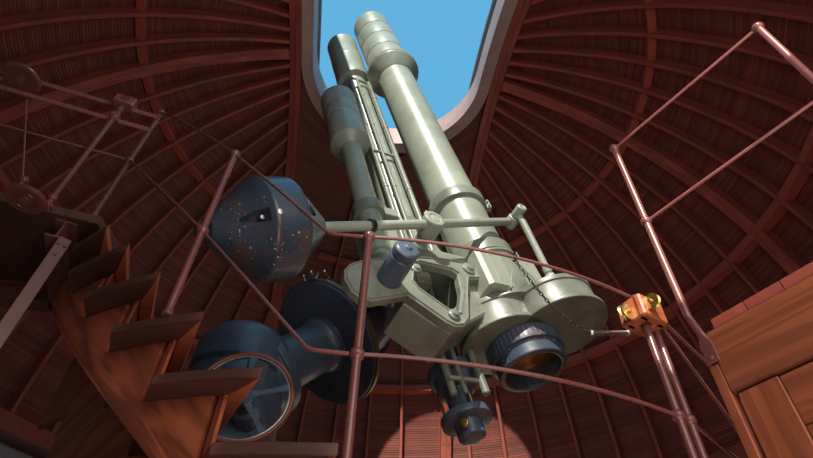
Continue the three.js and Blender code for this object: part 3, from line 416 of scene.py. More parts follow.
def plate(outline, low, high, place=WORLD, bevel=0.003, holes=(), tint=0.5):
    """A flat outline in local X and Y raised from low to high, with holes, all its edges cut by the bevel."""
    loops = [np.asarray(outline, float)] + [np.asarray(h, float) for h in holes]
    skins, flats = [], []
    for k, loop in enumerate(loops):
        small = inset(loop, bevel if k == 0 else -bevel)
        levels = [(small, low), (loop, low + bevel), (loop, high - bevel), (small, high)]
        rings = np.stack([np.concatenate([p, np.full((len(p), 1), z)], 1) for p, z in levels])
        flats.append(small)
        uv = rings[..., [0, 1]] + rings[..., 2:] * 0.7
        skins.append(sheet_grid(rings, uv, tint, close_columns=True))
    body = merged(skins)
    flat_triangles = np.array(tessellate_polygon([[(*p, 0) for p in f] for f in flats]))
    counts = np.cumsum([0] + [len(f) for f in flats])
    bottom = np.concatenate([np.arange(len(f)) + 4 * c for f, c in zip(flats, counts)])
    top = np.concatenate([np.arange(len(f)) + 4 * c + 3 * len(f) for f, c in zip(flats, counts)])
    fill = [np.concatenate([index[flat_triangles], np.full((len(flat_triangles), 1), -1)], 1)
            for index in (bottom, top)]
    return Skin(body.points, np.concatenate([body.quads, *fill]), body.uv, body.tint).placed(place)


def block(low, high, bevel=0.003, place=WORLD, grain=0, tint=0.5):
    """A box from its low to its high corner, in the place's directions, with every edge cut by the bevel."""
    low, high = np.asarray(low, float), np.asarray(high, float)
    size, middle = high - low, (high + low) / 2
    b = min(bevel, 0.45 * size.min())
    outer = section_rect(size[0], size[1], b)
    inner = outer * (1 - 2 * b / size[:2])
    rings = [(inner, low[2]), (outer, low[2] + b), (outer, high[2] - b), (inner, high[2])]
    points = np.stack([np.concatenate([r + middle[:2], np.full((8, 1), z)], 1) for r, z in rings])
    others = [i for i in range(3) if i != grain]
    uv = np.stack([points[..., grain], points[..., others].sum(-1)], -1)
    return lofted(points, uv, tint).placed(place)


def arc(radius, first, last, count):
    """Plan points on a circle, angles in degrees from -Y toward +X."""
    t = np.radians(np.linspace(first, last, count))
    return np.stack([radius * np.sin(t), -radius * np.cos(t)], -1)


def plan(rho, angle, z):
    """A point by its distance from the dome's axis and its angle in degrees from -Y toward +X."""
    t = np.radians(angle)
    return np.stack(np.broadcast_arrays(rho * np.sin(t), -rho * np.cos(t), z), -1)


def plan_angle(point):
    """The angle of a plan point in degrees from -Y toward +X."""
    return atan2(point[0], -point[1]) * 180 / pi


def radial(degrees):
    """The level directions away from the dome's axis and square to that, at an angle from -Y toward +X."""
    t = radians(degrees)
    return np.array([sin(t), -cos(t), 0]), np.array([cos(t), sin(t), 0])


def sector_slab(inner, outer, first, last, low, high, count=8, bevel=0.003, tint=0.5):
    """A board shaped as a piece of a ring, with its edges cut; its U runs outward along the middle radius."""
    outline = np.concatenate([arc(outer, first, last, count), arc(inner, last, first, count)])
    skin = plate(outline, low, high, bevel=bevel, tint=tint)
    away, side = radial((first + last) / 2)
    skin.uv = np.stack([skin.points @ away, skin.points @ side + skin.points[:, 2]], -1)
    return skin


# Putting skins into Blender


def put(name, skins, finish, body, replaces=(), smooth=35):
    """Makes the object from its skins in the named finish, closes poles, turns faces outward, hangs it under its
    body's empty and hides the CAD nodes that it replaces."""
    skin = skins if isinstance(skins, Skin) else merged(skins)
    keep = skin.quads >= 0
    totals = keep.sum(1)
    loops = skin.quads[keep]
    starts = np.concatenate([[0], np.cumsum(totals)[:-1]])
    mesh = bpy.data.meshes.new(name)
    mesh.vertices.add(len(skin.points))
    mesh.vertices.foreach_set("co", skin.points.astype(np.float32).ravel())
    mesh.loops.add(len(loops))
    mesh.loops.foreach_set("vertex_index", loops.astype(np.int32))
    mesh.polygons.add(len(totals))
    mesh.polygons.foreach_set("loop_start", starts.astype(np.int32))
    mesh.polygons.foreach_set("loop_total", totals.astype(np.int32))
    layer = mesh.uv_layers.new(name="UVMap")
    layer.data.foreach_set("uv", skin.uv[loops].astype(np.float32).ravel())
    tint = mesh.attributes.new("tint", "FLOAT", "POINT")
    tint.data.foreach_set("value", np.ascontiguousarray(skin.tint, np.float32))
    mesh.update(calc_edges=True)
    bm = bmesh.new()
    bm.from_mesh(mesh)
    bmesh.ops.remove_doubles(bm, verts=bm.verts, dist=2e-6)
    bmesh.ops.recalc_face_normals(bm, faces=bm.faces)
    bm.to_mesh(mesh)
    bm.free()
    mesh.validate()
    mesh.shade_smooth()
    mesh.set_sharp_from_angle(angle=radians(smooth))
    mesh.materials.append(MATERIALS[finish])
    piece = bpy.data.objects.new(name, mesh)
    bpy.context.scene.collection.objects.link(piece)
    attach(piece, body)
    if replaces:
        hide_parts(*replaces)
    return piece


# Materials


class Shader:
    """A small builder for one principled material."""

    def __init__(self, name):
        self.material = bpy.data.materials.new(name)
        self.material.use_nodes = True
        self.tree = self.material.node_tree
        self.bsdf = self.tree.nodes["Principled BSDF"]
        self.coordinates = self.tree.nodes.new("ShaderNodeTexCoord")

    def feed(self, socket, value):
        """Links an output to the socket, or sets the socket's value."""
        if isinstance(value, bpy.types.NodeSocket):
            self.tree.links.new(value, socket)
        else:
            socket.default_value = value

    def node(self, kind, links=(), **values):
        """A new node with its properties set and its inputs fed."""
        made = self.tree.nodes.new(kind)
        for key, value in values.items():
            setattr(made, key, value)
        for socket, value in dict(links).items():
            self.feed(made.inputs[socket], value)
        return made

    def mapped(self, vector, scale):
        """The vector with each direction scaled."""
        return self.node("ShaderNodeMapping", {"Vector": vector, "Scale": scale}).outputs[0]

    def object_space(self, scale=(1, 1, 1)):
        return self.mapped(self.coordinates.outputs["Object"], scale)

    def uv_space(self):
        return self.mapped(self.coordinates.outputs["UV"], (1, 1, 1))

    def tint(self):
        return self.node("ShaderNodeAttribute", attribute_name="tint").outputs["Fac"]

    def noise(self, vector, scale, detail=4.0, roughness=0.55, distortion=0.0):
        """Cloudy noise from 0 to 1."""
        links = {"Vector": vector, "Scale": scale, "Detail": detail, "Roughness": roughness,
                 "Distortion": distortion}
        return self.node("ShaderNodeTexNoise", links).outputs["Fac"]

    def ramp(self, value, stops):
        """The value turned into a colour by stops of position and colour."""
        made = self.node("ShaderNodeValToRGB", {"Fac": value})
        points = made.color_ramp.elements
        while len(points) < len(stops):
            points.new(0.5)
        for point, (position, colour) in zip(points, stops):
            point.position = position
            point.color = colour if len(colour) == 4 else (*colour, 1)
        return made.outputs["Color"]

    def grey(self, value, low, high, a=0.0, b=1.0):
        """The value mapped from low..high to a..b, held at the ends."""
        links = {"Value": value, "From Min": low, "From Max": high, "To Min": a, "To Max": b}
        return self.node("ShaderNodeMapRange", links).outputs["Result"]

    def math(self, operation, a, b=0.0, c=0.0):
        made = self.node("ShaderNodeMath", operation=operation)
        for socket, value in zip(made.inputs, (a, b, c)):
            self.feed(socket, value)
        return made.outputs[0]

    def mix(self, factor, a, b, blend="MIX"):
        """Colour a to colour b by the factor."""
        made = self.node("ShaderNodeMix", data_type="RGBA", blend_type=blend)
        for number, value in ((0, factor), (6, a), (7, b)):
            self.feed(made.inputs[number], value)
        return made.outputs[2]

    def edges(self, low=0.53, high=0.62):
        """Worn edges: the pointiness of the mesh, near 0.5 on flat places and higher on edges."""
        point = self.node("ShaderNodeNewGeometry").outputs["Pointiness"]
        return self.grey(point, low, high)

    def bump(self, height, strength=0.3, distance=0.002):
        """Lets the height bend the surface's normal."""
        links = {"Height": height, "Strength": strength, "Distance": distance}
        made = self.node("ShaderNodeBump", links)
        self.tree.links.new(made.outputs["Normal"], self.bsdf.inputs["Normal"])

    def finish(self, colour, roughness, metallic=0.0, coat=0.0, coat_roughness=0.2):
        for name, value in (("Base Color", colour), ("Roughness", roughness), ("Metallic", metallic),
                            ("Coat Weight", coat), ("Coat Roughness", coat_roughness)):
            self.feed(self.bsdf.inputs[name], value)
        return self.material


def scaled(colour, k):
    """The colour times k, held at 1."""
    return (min(colour[0] * k, 1), min(colour[1] * k, 1), min(colour[2] * k, 1), 1)


def wood(name, colour, grain, contrast, roughness, wear=0.35, knots=0.0, coat=0.0, figure=0.1):
    """Stained wood: fine fibres along U, wide figure across V, a tint for each board and paler worn edges."""
    s = Shader(name)
    tint = s.tint()
    shift = s.node("ShaderNodeCombineXYZ", {"X": s.math("MULTIPLY", tint, 13.0),
                                            "Z": s.math("MULTIPLY", tint, 29.0)}).outputs[0]
    space = s.node("ShaderNodeVectorMath", {0: s.uv_space(), 1: shift}, operation="ADD").outputs[0]
    fibre = s.noise(s.mapped(space, (2.2, grain, 1)), 1.0, 5.0, 0.6, 0.4)
    loops = s.noise(s.mapped(space, (0.7, 7.0, 1)), 1.0, 3.0, 0.5, 0.8)
    rings = s.math("SINE", s.math("MULTIPLY", loops, 42.0))
    pattern = s.math("ADD", s.math("MULTIPLY", fibre, 0.62), s.math("MULTIPLY_ADD", rings, figure, 0.19))
    stain = s.ramp(pattern, [(0.25, scaled(colour, 1 - contrast)), (0.52, colour),
                             (0.8, scaled(colour, 1 + contrast))])
    board = s.ramp(tint, [(0.0, (0.7, 0.7, 0.7)), (0.5, (1, 1, 1)), (1.0, (1.3, 1.26, 1.22))])
    base = s.mix(1.0, stain, board, "MULTIPLY")
    if knots > 0:
        cell = s.node("ShaderNodeTexVoronoi", {"Vector": s.mapped(space, (1.3, 6.0, 1)), "Scale": 1.0})
        cell = cell.outputs["Distance"]
        base = s.mix(s.grey(cell, 0.05, 0.12, knots, 0.0), base, scaled(colour, 0.2))
    dirt = s.noise(s.object_space(), 3.0, 4.0, 0.6)
    base = s.mix(s.grey(dirt, 0.42, 0.7, 0.0, 0.45), base, scaled(colour, 0.45))
    base = s.mix(s.math("MULTIPLY", s.edges(), wear), base, scaled(colour, 2.1))
    s.bump(pattern, 0.35, 0.0012)
    return s.finish(base, s.grey(fibre, 0.2, 0.8, roughness - 0.08, roughness + 0.14), coat=coat)


def enamel(name, colour, roughness, chips, chip_colour, stain=(0.1, 0.06, 0.035, 1), stain_share=0.0,
           wear=0.4, mottled=0.18, coat=0.15):
    """Old gloss paint on metal: soft mottling, brush marks, chipped specks, stains and bright worn edges."""
    s = Shader(name)
    space = s.object_space()
    soft = s.noise(space, 2.6, 5.0, 0.6)
    fine = s.noise(space, 38.0, 3.0, 0.6)
    base = s.mix(s.grey(soft, 0.35, 0.68), scaled(colour, 1 - mottled), scaled(colour, 1 + mottled))
    base = s.mix(s.grey(fine, 0.5, 0.75, 0.0, 0.25), base, scaled(colour, 0.7))
    if stain_share > 0:
        blot = s.noise(space, 5.0, 6.0, 0.65, 0.6)
        base = s.mix(s.grey(blot, 0.52, 0.66, 0.0, stain_share), base, stain)
    speck = s.noise(space, 90.0, 2.0, 0.5)
    patch = s.noise(space, 7.0, 3.0, 0.6)
    both = s.math("MULTIPLY", s.grey(speck, 0.66, 0.7), s.grey(patch, 0.45, 0.62))
    base = s.mix(s.math("MULTIPLY", both, chips), base, chip_colour)
    base = s.mix(s.math("MULTIPLY", s.edges(), wear), base, scaled(colour, 2.4))
    s.bump(s.math("ADD", s.math("MULTIPLY", soft, 0.6), s.math("MULTIPLY", fine, 0.25)), 0.22, 0.0015)
    return s.finish(base, s.grey(fine, 0.3, 0.75, roughness - 0.05, roughness + 0.14), coat=coat)


def metal(name, colour, roughness=0.3):
    """Bare metal with fine turning marks and a little tarnish."""
    s = Shader(name)
    marks = s.noise(s.object_space((1, 1, 60)), 6.0, 4.0, 0.6)
    tarnish = s.noise(s.object_space(), 14.0, 4.0, 0.6)
    base = s.mix(s.grey(tarnish, 0.4, 0.75, 0.0, 0.6), colour, scaled(colour, 0.45))
    s.bump(marks, 0.12, 0.0004)
    return s.finish(base, s.grey(marks, 0.3, 0.8, roughness - 0.06, roughness + 0.16), metallic=1.0)


def zinc_sheet(name, colour):
    """Weathered sheet: pale bloom, darker runs down the slope, low gloss."""
    s = Shader(name)
    bloom = s.noise(s.object_space(), 1.7, 6.0, 0.62)
    runs = s.noise(s.object_space((7, 7, 0.5)), 2.0, 4.0, 0.6)
    base = s.mix(s.grey(bloom, 0.35, 0.7), scaled(colour, 0.72), scaled(colour, 1.15))
    base = s.mix(s.grey(runs, 0.52, 0.72, 0.0, 0.5), base, scaled(colour, 0.45))
    s.bump(bloom, 0.15, 0.004)
    return s.finish(base, s.grey(bloom, 0.3, 0.7, 0.42, 0.62), metallic=0.55)


def mineral(name, colour, grain=90.0, relief=0.5):
    """Render or concrete: sandy grain, soft clouds and damp stains."""
    s = Shader(name)
    space = s.object_space()
    cloud = s.noise(space, 1.3, 6.0, 0.6)
    sand = s.noise(space, grain, 3.0, 0.7)
    base = s.mix(s.grey(cloud, 0.35, 0.7), scaled(colour, 0.86), scaled(colour, 1.1))
    base = s.mix(s.grey(sand, 0.55, 0.8, 0.0, 0.3), base, scaled(colour, 0.6))
    damp = s.noise(s.object_space((3, 3, 0.6)), 0.9, 5.0, 0.6)
    base = s.mix(s.grey(damp, 0.55, 0.78, 0.0, 0.35), base, scaled(colour, 0.45))
    s.bump(s.math("ADD", sand, cloud), relief, 0.003)
    return s.finish(base, 0.88)


def lens_glass(name):
    """Dark coated glass with faint clouds in it."""
    s = Shader(name)
    depth = s.noise(s.object_space(), 3.0, 2.0)
    base = s.mix(depth, (0.004, 0.006, 0.012, 1), (0.02, 0.03, 0.05, 1))
    return s.finish(base, 0.04, coat=0.6, coat_roughness=0.03)


MATERIALS = {}


def make_materials():
    """Makes each finish once, under the name that put() is given."""
    c = colours()
    MATERIALS.update({
        "boards": wood("lining_boards", tuple(c.boards), grain=60, contrast=0.34, roughness=0.5, wear=0.5,
                       figure=0.05),
        "ribs": wood("rib_wood", tuple(c.ribs), grain=60, contrast=0.35, roughness=0.5, wear=0.5, knots=0.6),
        "planks": wood("varnished_plank", tuple(c.planks), grain=26, contrast=0.75, roughness=0.38, wear=0.4,
                       knots=0.5, coat=0.25),
        "nosings": wood("nosing_batten", scaled(c.planks, 1.25), grain=60, contrast=0.4, roughness=0.4, coat=0.2),
        # The risers take the rib stain darkened to 0.6: painted shade on the riser faces.
        "risers": wood("riser_board", scaled(c.ribs, 0.6), grain=40, contrast=0.5, roughness=0.5),
        "stair_board": wood("stair_board", scaled(c.planks, 0.85), grain=22, contrast=0.7, roughness=0.4, knots=0.4,
                            coat=0.25, figure=0.24),
        "side_wood": wood("side_stage_wood", scaled(c.planks, 0.72), grain=24, contrast=0.6, roughness=0.45,
                          figure=0.2),
        "stage_wood": wood("stage_plank", scaled(c.treads, 0.9), grain=50, contrast=0.5, roughness=0.55, wear=0.6),
        "steelwork": enamel("steelwork_paint", scaled(c.rail, 0.7), 0.4, chips=0.4,
                            chip_colour=(0.12, 0.05, 0.04, 1)),
        "treads": wood("dark_tread", tuple(c.treads), grain=60, contrast=0.5, roughness=0.42, wear=1.0, coat=0.2),
        "trim": wood("slit_board_paint", tuple(c.trim), grain=40, contrast=0.14, roughness=0.5, wear=0.2),
        "tube": enamel("tube_enamel", tuple(c.tube), 0.32, chips=0.25, chip_colour=(0.1, 0.1, 0.08, 1),
                       stain=(0.16, 0.15, 0.1, 1), stain_share=0.22),
        "breech": enamel("breech_enamel", scaled(c.tube, 0.62), 0.34, chips=0.5, chip_colour=(0.07, 0.06, 0.05, 1),
                         stain=(0.08, 0.06, 0.04, 1), stain_share=0.5, mottled=0.28),
        "mount": enamel("mount_enamel", tuple(c.mount), 0.34, chips=0.35, chip_colour=(0.3, 0.32, 0.33, 1),
                        stain_share=0.2, mottled=0.3),
        "iron": enamel("weight_enamel", tuple(c.iron), 0.3, chips=1.0, chip_colour=(0.55, 0.56, 0.55, 1),
                       stain=(0.12, 0.06, 0.035, 1), stain_share=0.55, mottled=0.35, wear=0.9, coat=0.3),
        "rail": enamel("railing_gloss", tuple(c.rail), 0.26, chips=0.25, chip_colour=(0.12, 0.05, 0.04, 1),
                       wear=0.5, coat=0.25),
        "steel": metal("bright_steel", (0.6, 0.6, 0.58, 1)),
        "brass": metal("old_brass", (0.62, 0.42, 0.16, 1), 0.32),
        "dark_steel": metal("dark_steel", (0.09, 0.09, 0.095, 1), 0.38),
        "zinc": zinc_sheet("zinc_sheet", tuple(c.zinc)),
        "masonry": mineral("lime_render", tuple(c.masonry)),
        "concrete": mineral("trowelled_concrete", tuple(c.concrete), grain=60, relief=0.35),
        "glass": lens_glass("lens_glass"),
    })


CAD_FINISH = {
    "masonry": "masonry", "concrete": "concrete", "dark_wood": "treads", "red_wood": "ribs",
    "trim_wood": "trim", "zinc_sheet": "zinc", "railing_paint": "rail", "green_paint": "tube",
    "grey_paint": "mount", "black_iron": "iron",
}


def dress_nodes():
    """Gives every CAD node the material of its slot, for those that stay in view."""
    by_node = {row["node"]: row["material_slot"] for row in frame["record"]["subparts"]}
    for name, node in frame["nodes"].items():
        node.data.materials.clear()
        node.data.materials.append(MATERIALS[CAD_FINISH[by_node[name]]])


# Camera, lights and floor

CAMERA_AT = (-0.23, -3.237, 1.421)
CAMERA_HEADING = 7.156
CAMERA_PITCH = 46.332
CAMERA_ROLL = 1.873
CAMERA_LENS = 23.97
SENSOR_WIDTH = 36
SUN_ELEVATION = 42.0
SUN_AZIMUTH = -20.0
SUN_STRENGTH = 6.5
SUN_ANGLE = 0.6
SKY_COLOUR = (0.125, 0.445, 0.74, 1)
STUDIO_REACH = 60


def matrix_of(place):
    """The world matrix that puts an object at the place: its directions are the columns."""
    return Matrix([[*place.basis[:, i], place.origin[i]] for i in range(3)] + [[0, 0, 0, 1]])


def camera():
    """The camera looks along heading and pitch, and its right and up are turned by the roll."""
    h, p, r = (radians(a) for a in (CAMERA_HEADING, CAMERA_PITCH, CAMERA_ROLL))
    look = np.array([sin(h) * cos(p), cos(h) * cos(p), sin(p)])
    level = np.array([cos(h), -sin(h), 0])
    above = np.cross(level, look)
    right = cos(r) * level + sin(r) * above
    up = -sin(r) * level + cos(r) * above
    data = bpy.data.cameras.new("photo_camera")
    data.lens = CAMERA_LENS
    data.sensor_width = SENSOR_WIDTH
    data.clip_start = 0.02
    data.clip_end = 200
    view = bpy.data.objects.new("photo_camera", data)
    view.matrix_world = matrix_of(Place(CAMERA_AT, right, up, -look))
    bpy.context.scene.collection.objects.link(view)
    bpy.context.scene.camera = view


def light(name, kind, energy, colour, at, toward, size):
    """A lamp that looks from one point toward another. Its size is in metres, or for the sun in degrees."""
    data = bpy.data.lights.new(name, kind)
    data.energy = energy
    data.color = colour
    if kind == "SUN":
        data.angle = radians(size)
    else:
        data.size = size
    lamp = bpy.data.objects.new(name, data)
    z = unit(np.asarray(at, float) - np.asarray(toward, float))
    lamp.matrix_world = matrix_of(place_along(at, z))
    lamp.visible_camera = False
    bpy.context.scene.collection.objects.link(lamp)


def lights():
    """The sun at (sin a cos e, -cos a cos e, sin e), three soft fills inside the dome and a plain sky."""
    e, a = radians(SUN_ELEVATION), radians(SUN_AZIMUTH)
    sun = np.array([sin(a) * cos(e), -cos(a) * cos(e), sin(e)]) * 30
    light("sun", "SUN", SUN_STRENGTH, (1.0, 0.93, 0.82), sun, (0, 0, 0), SUN_ANGLE)
    light("fill_front", "AREA", 30, (1.0, 0.9, 0.84), (0.5, -3.5, 3.2), (0.1, 0.5, 4.4), 1.8)
    light("fill_low", "AREA", 20, (1.0, 0.86, 0.78), (0.4, -2.9, 0.9), (0.3, 0.6, 5.0), 1.6)
    light("fill_back", "AREA", 14, (1.0, 0.85, 0.75), (0.8, 1.9, 2.2), (0.5, 2.6, 5.2), 2.2)
    world = bpy.data.worlds.new("sky")
    world.use_nodes = True
    back = world.node_tree.nodes["Background"]
    back.inputs["Color"].default_value = SKY_COLOUR
    back.inputs["Strength"].default_value = 1.0
    bpy.context.scene.world = world
    bpy.context.scene.view_settings.view_transform = "Standard"


def floor():
    """A pale square floor for the stage."""
    mesh = bpy.data.meshes.new("studio_floor")
    corners = [(x * STUDIO_REACH, y * STUDIO_REACH, 0) for x, y in ((-1, -1), (1, -1), (1, 1), (-1, 1))]
    mesh.from_pydata(corners, [], [(0, 1, 2, 3)])
    s = Shader("studio_floor")
    tone = s.noise(s.object_space(), 0.4, 2.0)
    mesh.materials.append(s.finish(s.mix(tone, (0.36, 0.345, 0.325, 1), (0.4, 0.385, 0.365, 1)), 0.9))
    slab = bpy.data.objects.new("studio_floor", mesh)
    bpy.context.scene.collection.objects.link(slab)


# Dome: lining boards, roof sheet, ribs, beams, slit board and shutters

LINING_IN = 4.13
LINING_OUT = 4.15
ROOF_IN = 4.236
ROOF_OUT = 4.249
RIB_IN = 4.0
SLIT_HALF = 1.06
TRIM_OUT = 1.1975
BEAM_IN = 1.2
BEAM_OUT = 1.34
RIB_STOP = 1.3403
SLIT_END_Y = 0.06
SLIT_FOOT_Z = 0.6642
RIB_PITCH = radians(360 / 54)
FIRST_RIB = radians(90) - 13 * RIB_PITCH
BLOCK_ROWS = ((22, 0.09, 0.11), (46.95, 0.06, 0.08))  # elevation in degrees, height and depth
STUD_WIDTH = 0.036


def on_meridian(radius, elevation, azimuth, aside=0.0):
    """radius (cos e away + sin e up) + aside * level tangent, azimuth from +Y toward +X, about the dome's centre."""
    level = radius * np.cos(elevation)
    return CENTRE + np.stack(np.broadcast_arrays(
        level * np.sin(azimuth) + aside * np.cos(azimuth),
        level * np.cos(azimuth) - aside * np.sin(azimuth),
        radius * np.sin(elevation)), -1)


def board_rows(last):
    """Edges of the boards from the spring to a last elevation, sunk between boards: elevation, depth and tint."""
    pitch = sizes().board_pitch / LINING_IN
    count = int((last - 0.002) / pitch)
    pitch = (last - 0.002) / count
    share, depth = np.array([0.0, 0.1, 0.9]), np.array([0.0055, 0.0, 0.0])
    levels = (0.002 + (np.arange(count)[:, None] + share) * pitch).ravel()
    tint = np.repeat(np.random.default_rng(7).random(count), 3)
    return levels, np.tile(depth, count), tint


def side_skin(levels, inner, outer, tint, side, columns):
    """Rings at the levels whose ends lie in the plane x = BEAM_IN, as a slab between two radii."""
    grids = []
    for radius in (inner, outer):
        start = np.arcsin(np.clip(BEAM_IN / (radius * np.cos(levels)), -1, 1))
        azimuth = start[:, None] + (pi - 2 * start[:, None]) * np.linspace(0, 1, columns)
        grids.append(on_meridian(np.asarray(radius)[:, None], levels[:, None], azimuth) * [side, 1, 1])
    uv = np.stack([azimuth * LINING_IN * np.cos(levels)[:, None],
                   np.broadcast_to((levels * LINING_IN)[:, None], azimuth.shape)], -1)
    return slab_between(*grids, uv, tint[:, None])


def strip_skin(levels, inner, outer, tint, front, columns=41):
    """Planes of constant x between the beams. Levels stop at the slit board: behind its round end, or at its foot."""
    x = TRIM_OUT * np.sin(np.linspace(-pi / 2, pi / 2, columns))[None]
    grids = []
    for radius in (inner, outer):
        radius = np.asarray(radius)[:, None]
        height = radius * np.sin(levels[:, None])
        if front:
            limit = np.full_like(height, SLIT_FOOT_Z)
        else:
            edge = SLIT_END_Y + np.sqrt(np.clip(TRIM_OUT ** 2 - x ** 2, 0, None)) + 0.002
            limit = np.sqrt(radius ** 2 - x ** 2 - edge ** 2)
        height = np.minimum(height, limit)
        y = np.sqrt(np.clip(radius ** 2 - height ** 2 - x ** 2, 0, None)) * (-1 if front else 1)
        grids.append(CENTRE + np.stack(np.broadcast_arrays(x, y, height), -1))
    uv = np.stack(np.broadcast_arrays(x + 20, (levels * LINING_IN)[:, None]), -1)
    return slab_between(*grids, uv, tint[:, None])


def build_lining():
    """Closed slabs of grooved boards on the inside of the dome: both sides, behind the slit and under its foot."""
    side_top = acos(BEAM_IN / (LINING_OUT)) - 0.003
    levels, depth, tint = board_rows(side_top)
    for name, side in (("right", 1), ("left", -1)):
        skin = side_skin(levels, LINING_IN + depth, np.full_like(levels, LINING_OUT), tint, side, 61)
        put(f"{name}_lining_boards", skin, "boards", "dome", [f"{name}_shell"], 20)
    back_top = acos(SLIT_END_Y / LINING_IN)
    for name, front, top, node in (("back", False, radians(73.3), "back_shell"),
                                   ("front", True, radians(9.25), "front_shell_under_slit")):
        levels, depth, tint = board_rows(min(top, back_top))
        skin = strip_skin(levels, LINING_IN + depth, np.full_like(levels, LINING_OUT), tint, front)
        put(f"{name}_lining_boards", skin, "boards", "dome", [node], 20)


def meridian_bar(azimuth, width, inner, outer, side, stop=RIB_STOP, first=0.0, last=None, steps=26, bevel=0.003,
                 tint=0.5):
    """A bar on a meridian. Each corner of its section, at radius r and aside w, ends where its x reaches the stop,
    so cos e = (stop - w cos a) / (r sin a), or at the last elevation."""
    section = section_rect(width, outer - inner, bevel)
    aside, radius = section[:, 0], section[:, 1] + (inner + outer) / 2
    if last is None:
        last = np.arccos(np.clip((stop - aside * cos(azimuth)) / (radius * sin(azimuth)), -1, 1))
    share = np.linspace(0, 1, steps)[:, None]
    elevation = first + (np.broadcast_to(last, aside.shape) - first) * share
    points = on_meridian(radius, elevation, azimuth, aside) * [side, 1, 1]
    around = running_length(section)
    uv = np.stack([elevation * radius, np.broadcast_to(around, elevation.shape)], -1)
    return lofted(points, uv, tint)


def rib_azimuths():
    """Azimuths one pitch apart, without those whose r sin a hardly reaches past the slit's beams."""
    k = np.arange(27)
    azimuth = FIRST_RIB + k * RIB_PITCH
    return azimuth[RIB_IN * np.sin(azimuth) > RIB_STOP + 0.06]


def bay_blocks(elevation, tall, deep, azimuths, wide, side):
    """Boards set on edge between ribs, one in the middle of each bay."""
    mid = LINING_IN - 0.024 - deep / 2
    z = mid * sin(radians(elevation))
    rho = sqrt((LINING_IN - 0.016) ** 2 - (z + tall / 2) ** 2) - deep / 2
    half_bay = rho * sin(RIB_PITCH / 2) - wide / 2
    centres = CENTRE + np.stack([rho * np.sin(azimuths), rho * np.cos(azimuths), np.full(len(azimuths), z)], -1)
    tangent = np.stack([np.cos(azimuths), -np.sin(azimuths), 0 * azimuths], -1)
    away = np.stack([np.sin(azimuths), np.cos(azimuths), 0 * azimuths], -1)
    bases = np.stack([tangent, away, np.broadcast_to([0.0, 0.0, 1.0], tangent.shape)], 1)
    rng = np.random.default_rng(int(elevation))
    tint = 0.3 + 0.5 * rng.random(len(azimuths))
    skin = bricks(centres, [half_bay, deep / 2, tall / 2], bases, tint)
    skin.points = skin.points * [side, 1, 1]
    return skin


def build_ribs():
    """Common ribs, the two main ribs, each of two layers of planks with butt joints, and the blocks between them."""
    rng = np.random.default_rng(3)
    wide = sizes().rib_width
    for name, side in (("right", 1), ("left", -1)):
        skins = []
        for azimuth in rib_azimuths():
            if abs(azimuth - pi / 2) < 0.01:
                continue
            skins.append(meridian_bar(azimuth, wide, RIB_IN, LINING_IN - 0.002, side, tint=0.3 + 0.4 * rng.random()))
        whole = acos(RIB_STOP / RIB_IN)
        main = sizes().main_rib_width
        for aside, cuts in ((-main / 4, (0, 0.21, 0.44, 0.66, 0.88, 1)), (main / 4, (0, 0.1, 0.33, 0.55, 0.77, 1))):
            for a, b in zip(cuts[:-1], cuts[1:]):
                first, last = a * whole + 0.0004, b * whole - 0.0004
                bar = meridian_bar(pi / 2, main / 2 - 0.001, RIB_IN, LINING_IN - 0.005, side, first=first,
                                   last=last, steps=9, tint=0.25 + 0.5 * rng.random())
                bar.points = bar.points + [0, -aside, 0]
                skins.append(bar)
        at = np.repeat(np.radians([6, 14.5, 23, 31.5, 40, 48.5, 57, 64]), 2)
        across = np.tile([-main / 4, main / 4], 8)
        bolts = on_meridian(RIB_IN, at, pi / 2, across) * [side, 1, 1]
        skins.append(heads(bolts, CENTRE - bolts, 0.011, 0.006, tint=0.02))
        every = FIRST_RIB + (np.arange(26) + 0.5) * RIB_PITCH
        for row, bays in zip(BLOCK_ROWS, (every[2:-2], every[3:-3])):
            skins.append(bay_blocks(*row, bays, wide, side))
        put(f"{name}_rib_planks", skins, "ribs", "dome", [f"{name}_ribs"])


def build_back_studs():
    """Short ribs behind the slit's round end, with the same blocks between them."""
    skins = []
    azimuths = np.radians([-10, -3.333, 3.333, 10])
    for k, azimuth in enumerate(azimuths):
        edge = 1.32
        last = acos(edge / LINING_IN) if abs(azimuth) > 0.1 else acos((edge - 0.02) / LINING_IN)
        skins.append(meridian_bar(azimuth, STUD_WIDTH, RIB_IN, LINING_IN - 0.003, 1, last=last - 0.012,
                                  tint=0.3 + 0.1 * k))
    bays = np.radians([-13.333, -6.667, 0, 6.667, 13.333])
    skins += [bay_blocks(*row, bays, STUD_WIDTH, 1) for row in BLOCK_ROWS]
    put("back_rib_planks", skins, "ribs", "dome", ["back_studs"])


def arch(x0, x1, inner, outer, first, last, steps, bevel=0.004, tint=0.5):
    """A curved beam between two planes of constant x, carried round the dome's centre from -Y over the top."""
    section = section_rect(x1 - x0, outer - inner, bevel)
    angle = np.linspace(radians(first), radians(last), steps)[:, None]
    radius = section[:, 1] + (inner + outer) / 2
    x = np.broadcast_to(section[:, 0] + (x0 + x1) / 2, (steps, len(section)))
    points = CENTRE + np.stack([x, -radius * np.cos(angle), radius * np.sin(angle)], -1)
    around = running_length(section)
    uv = np.stack([angle * radius, np.broadcast_to(around, (steps, len(section)))], -1)
    return lofted(points, uv, tint)


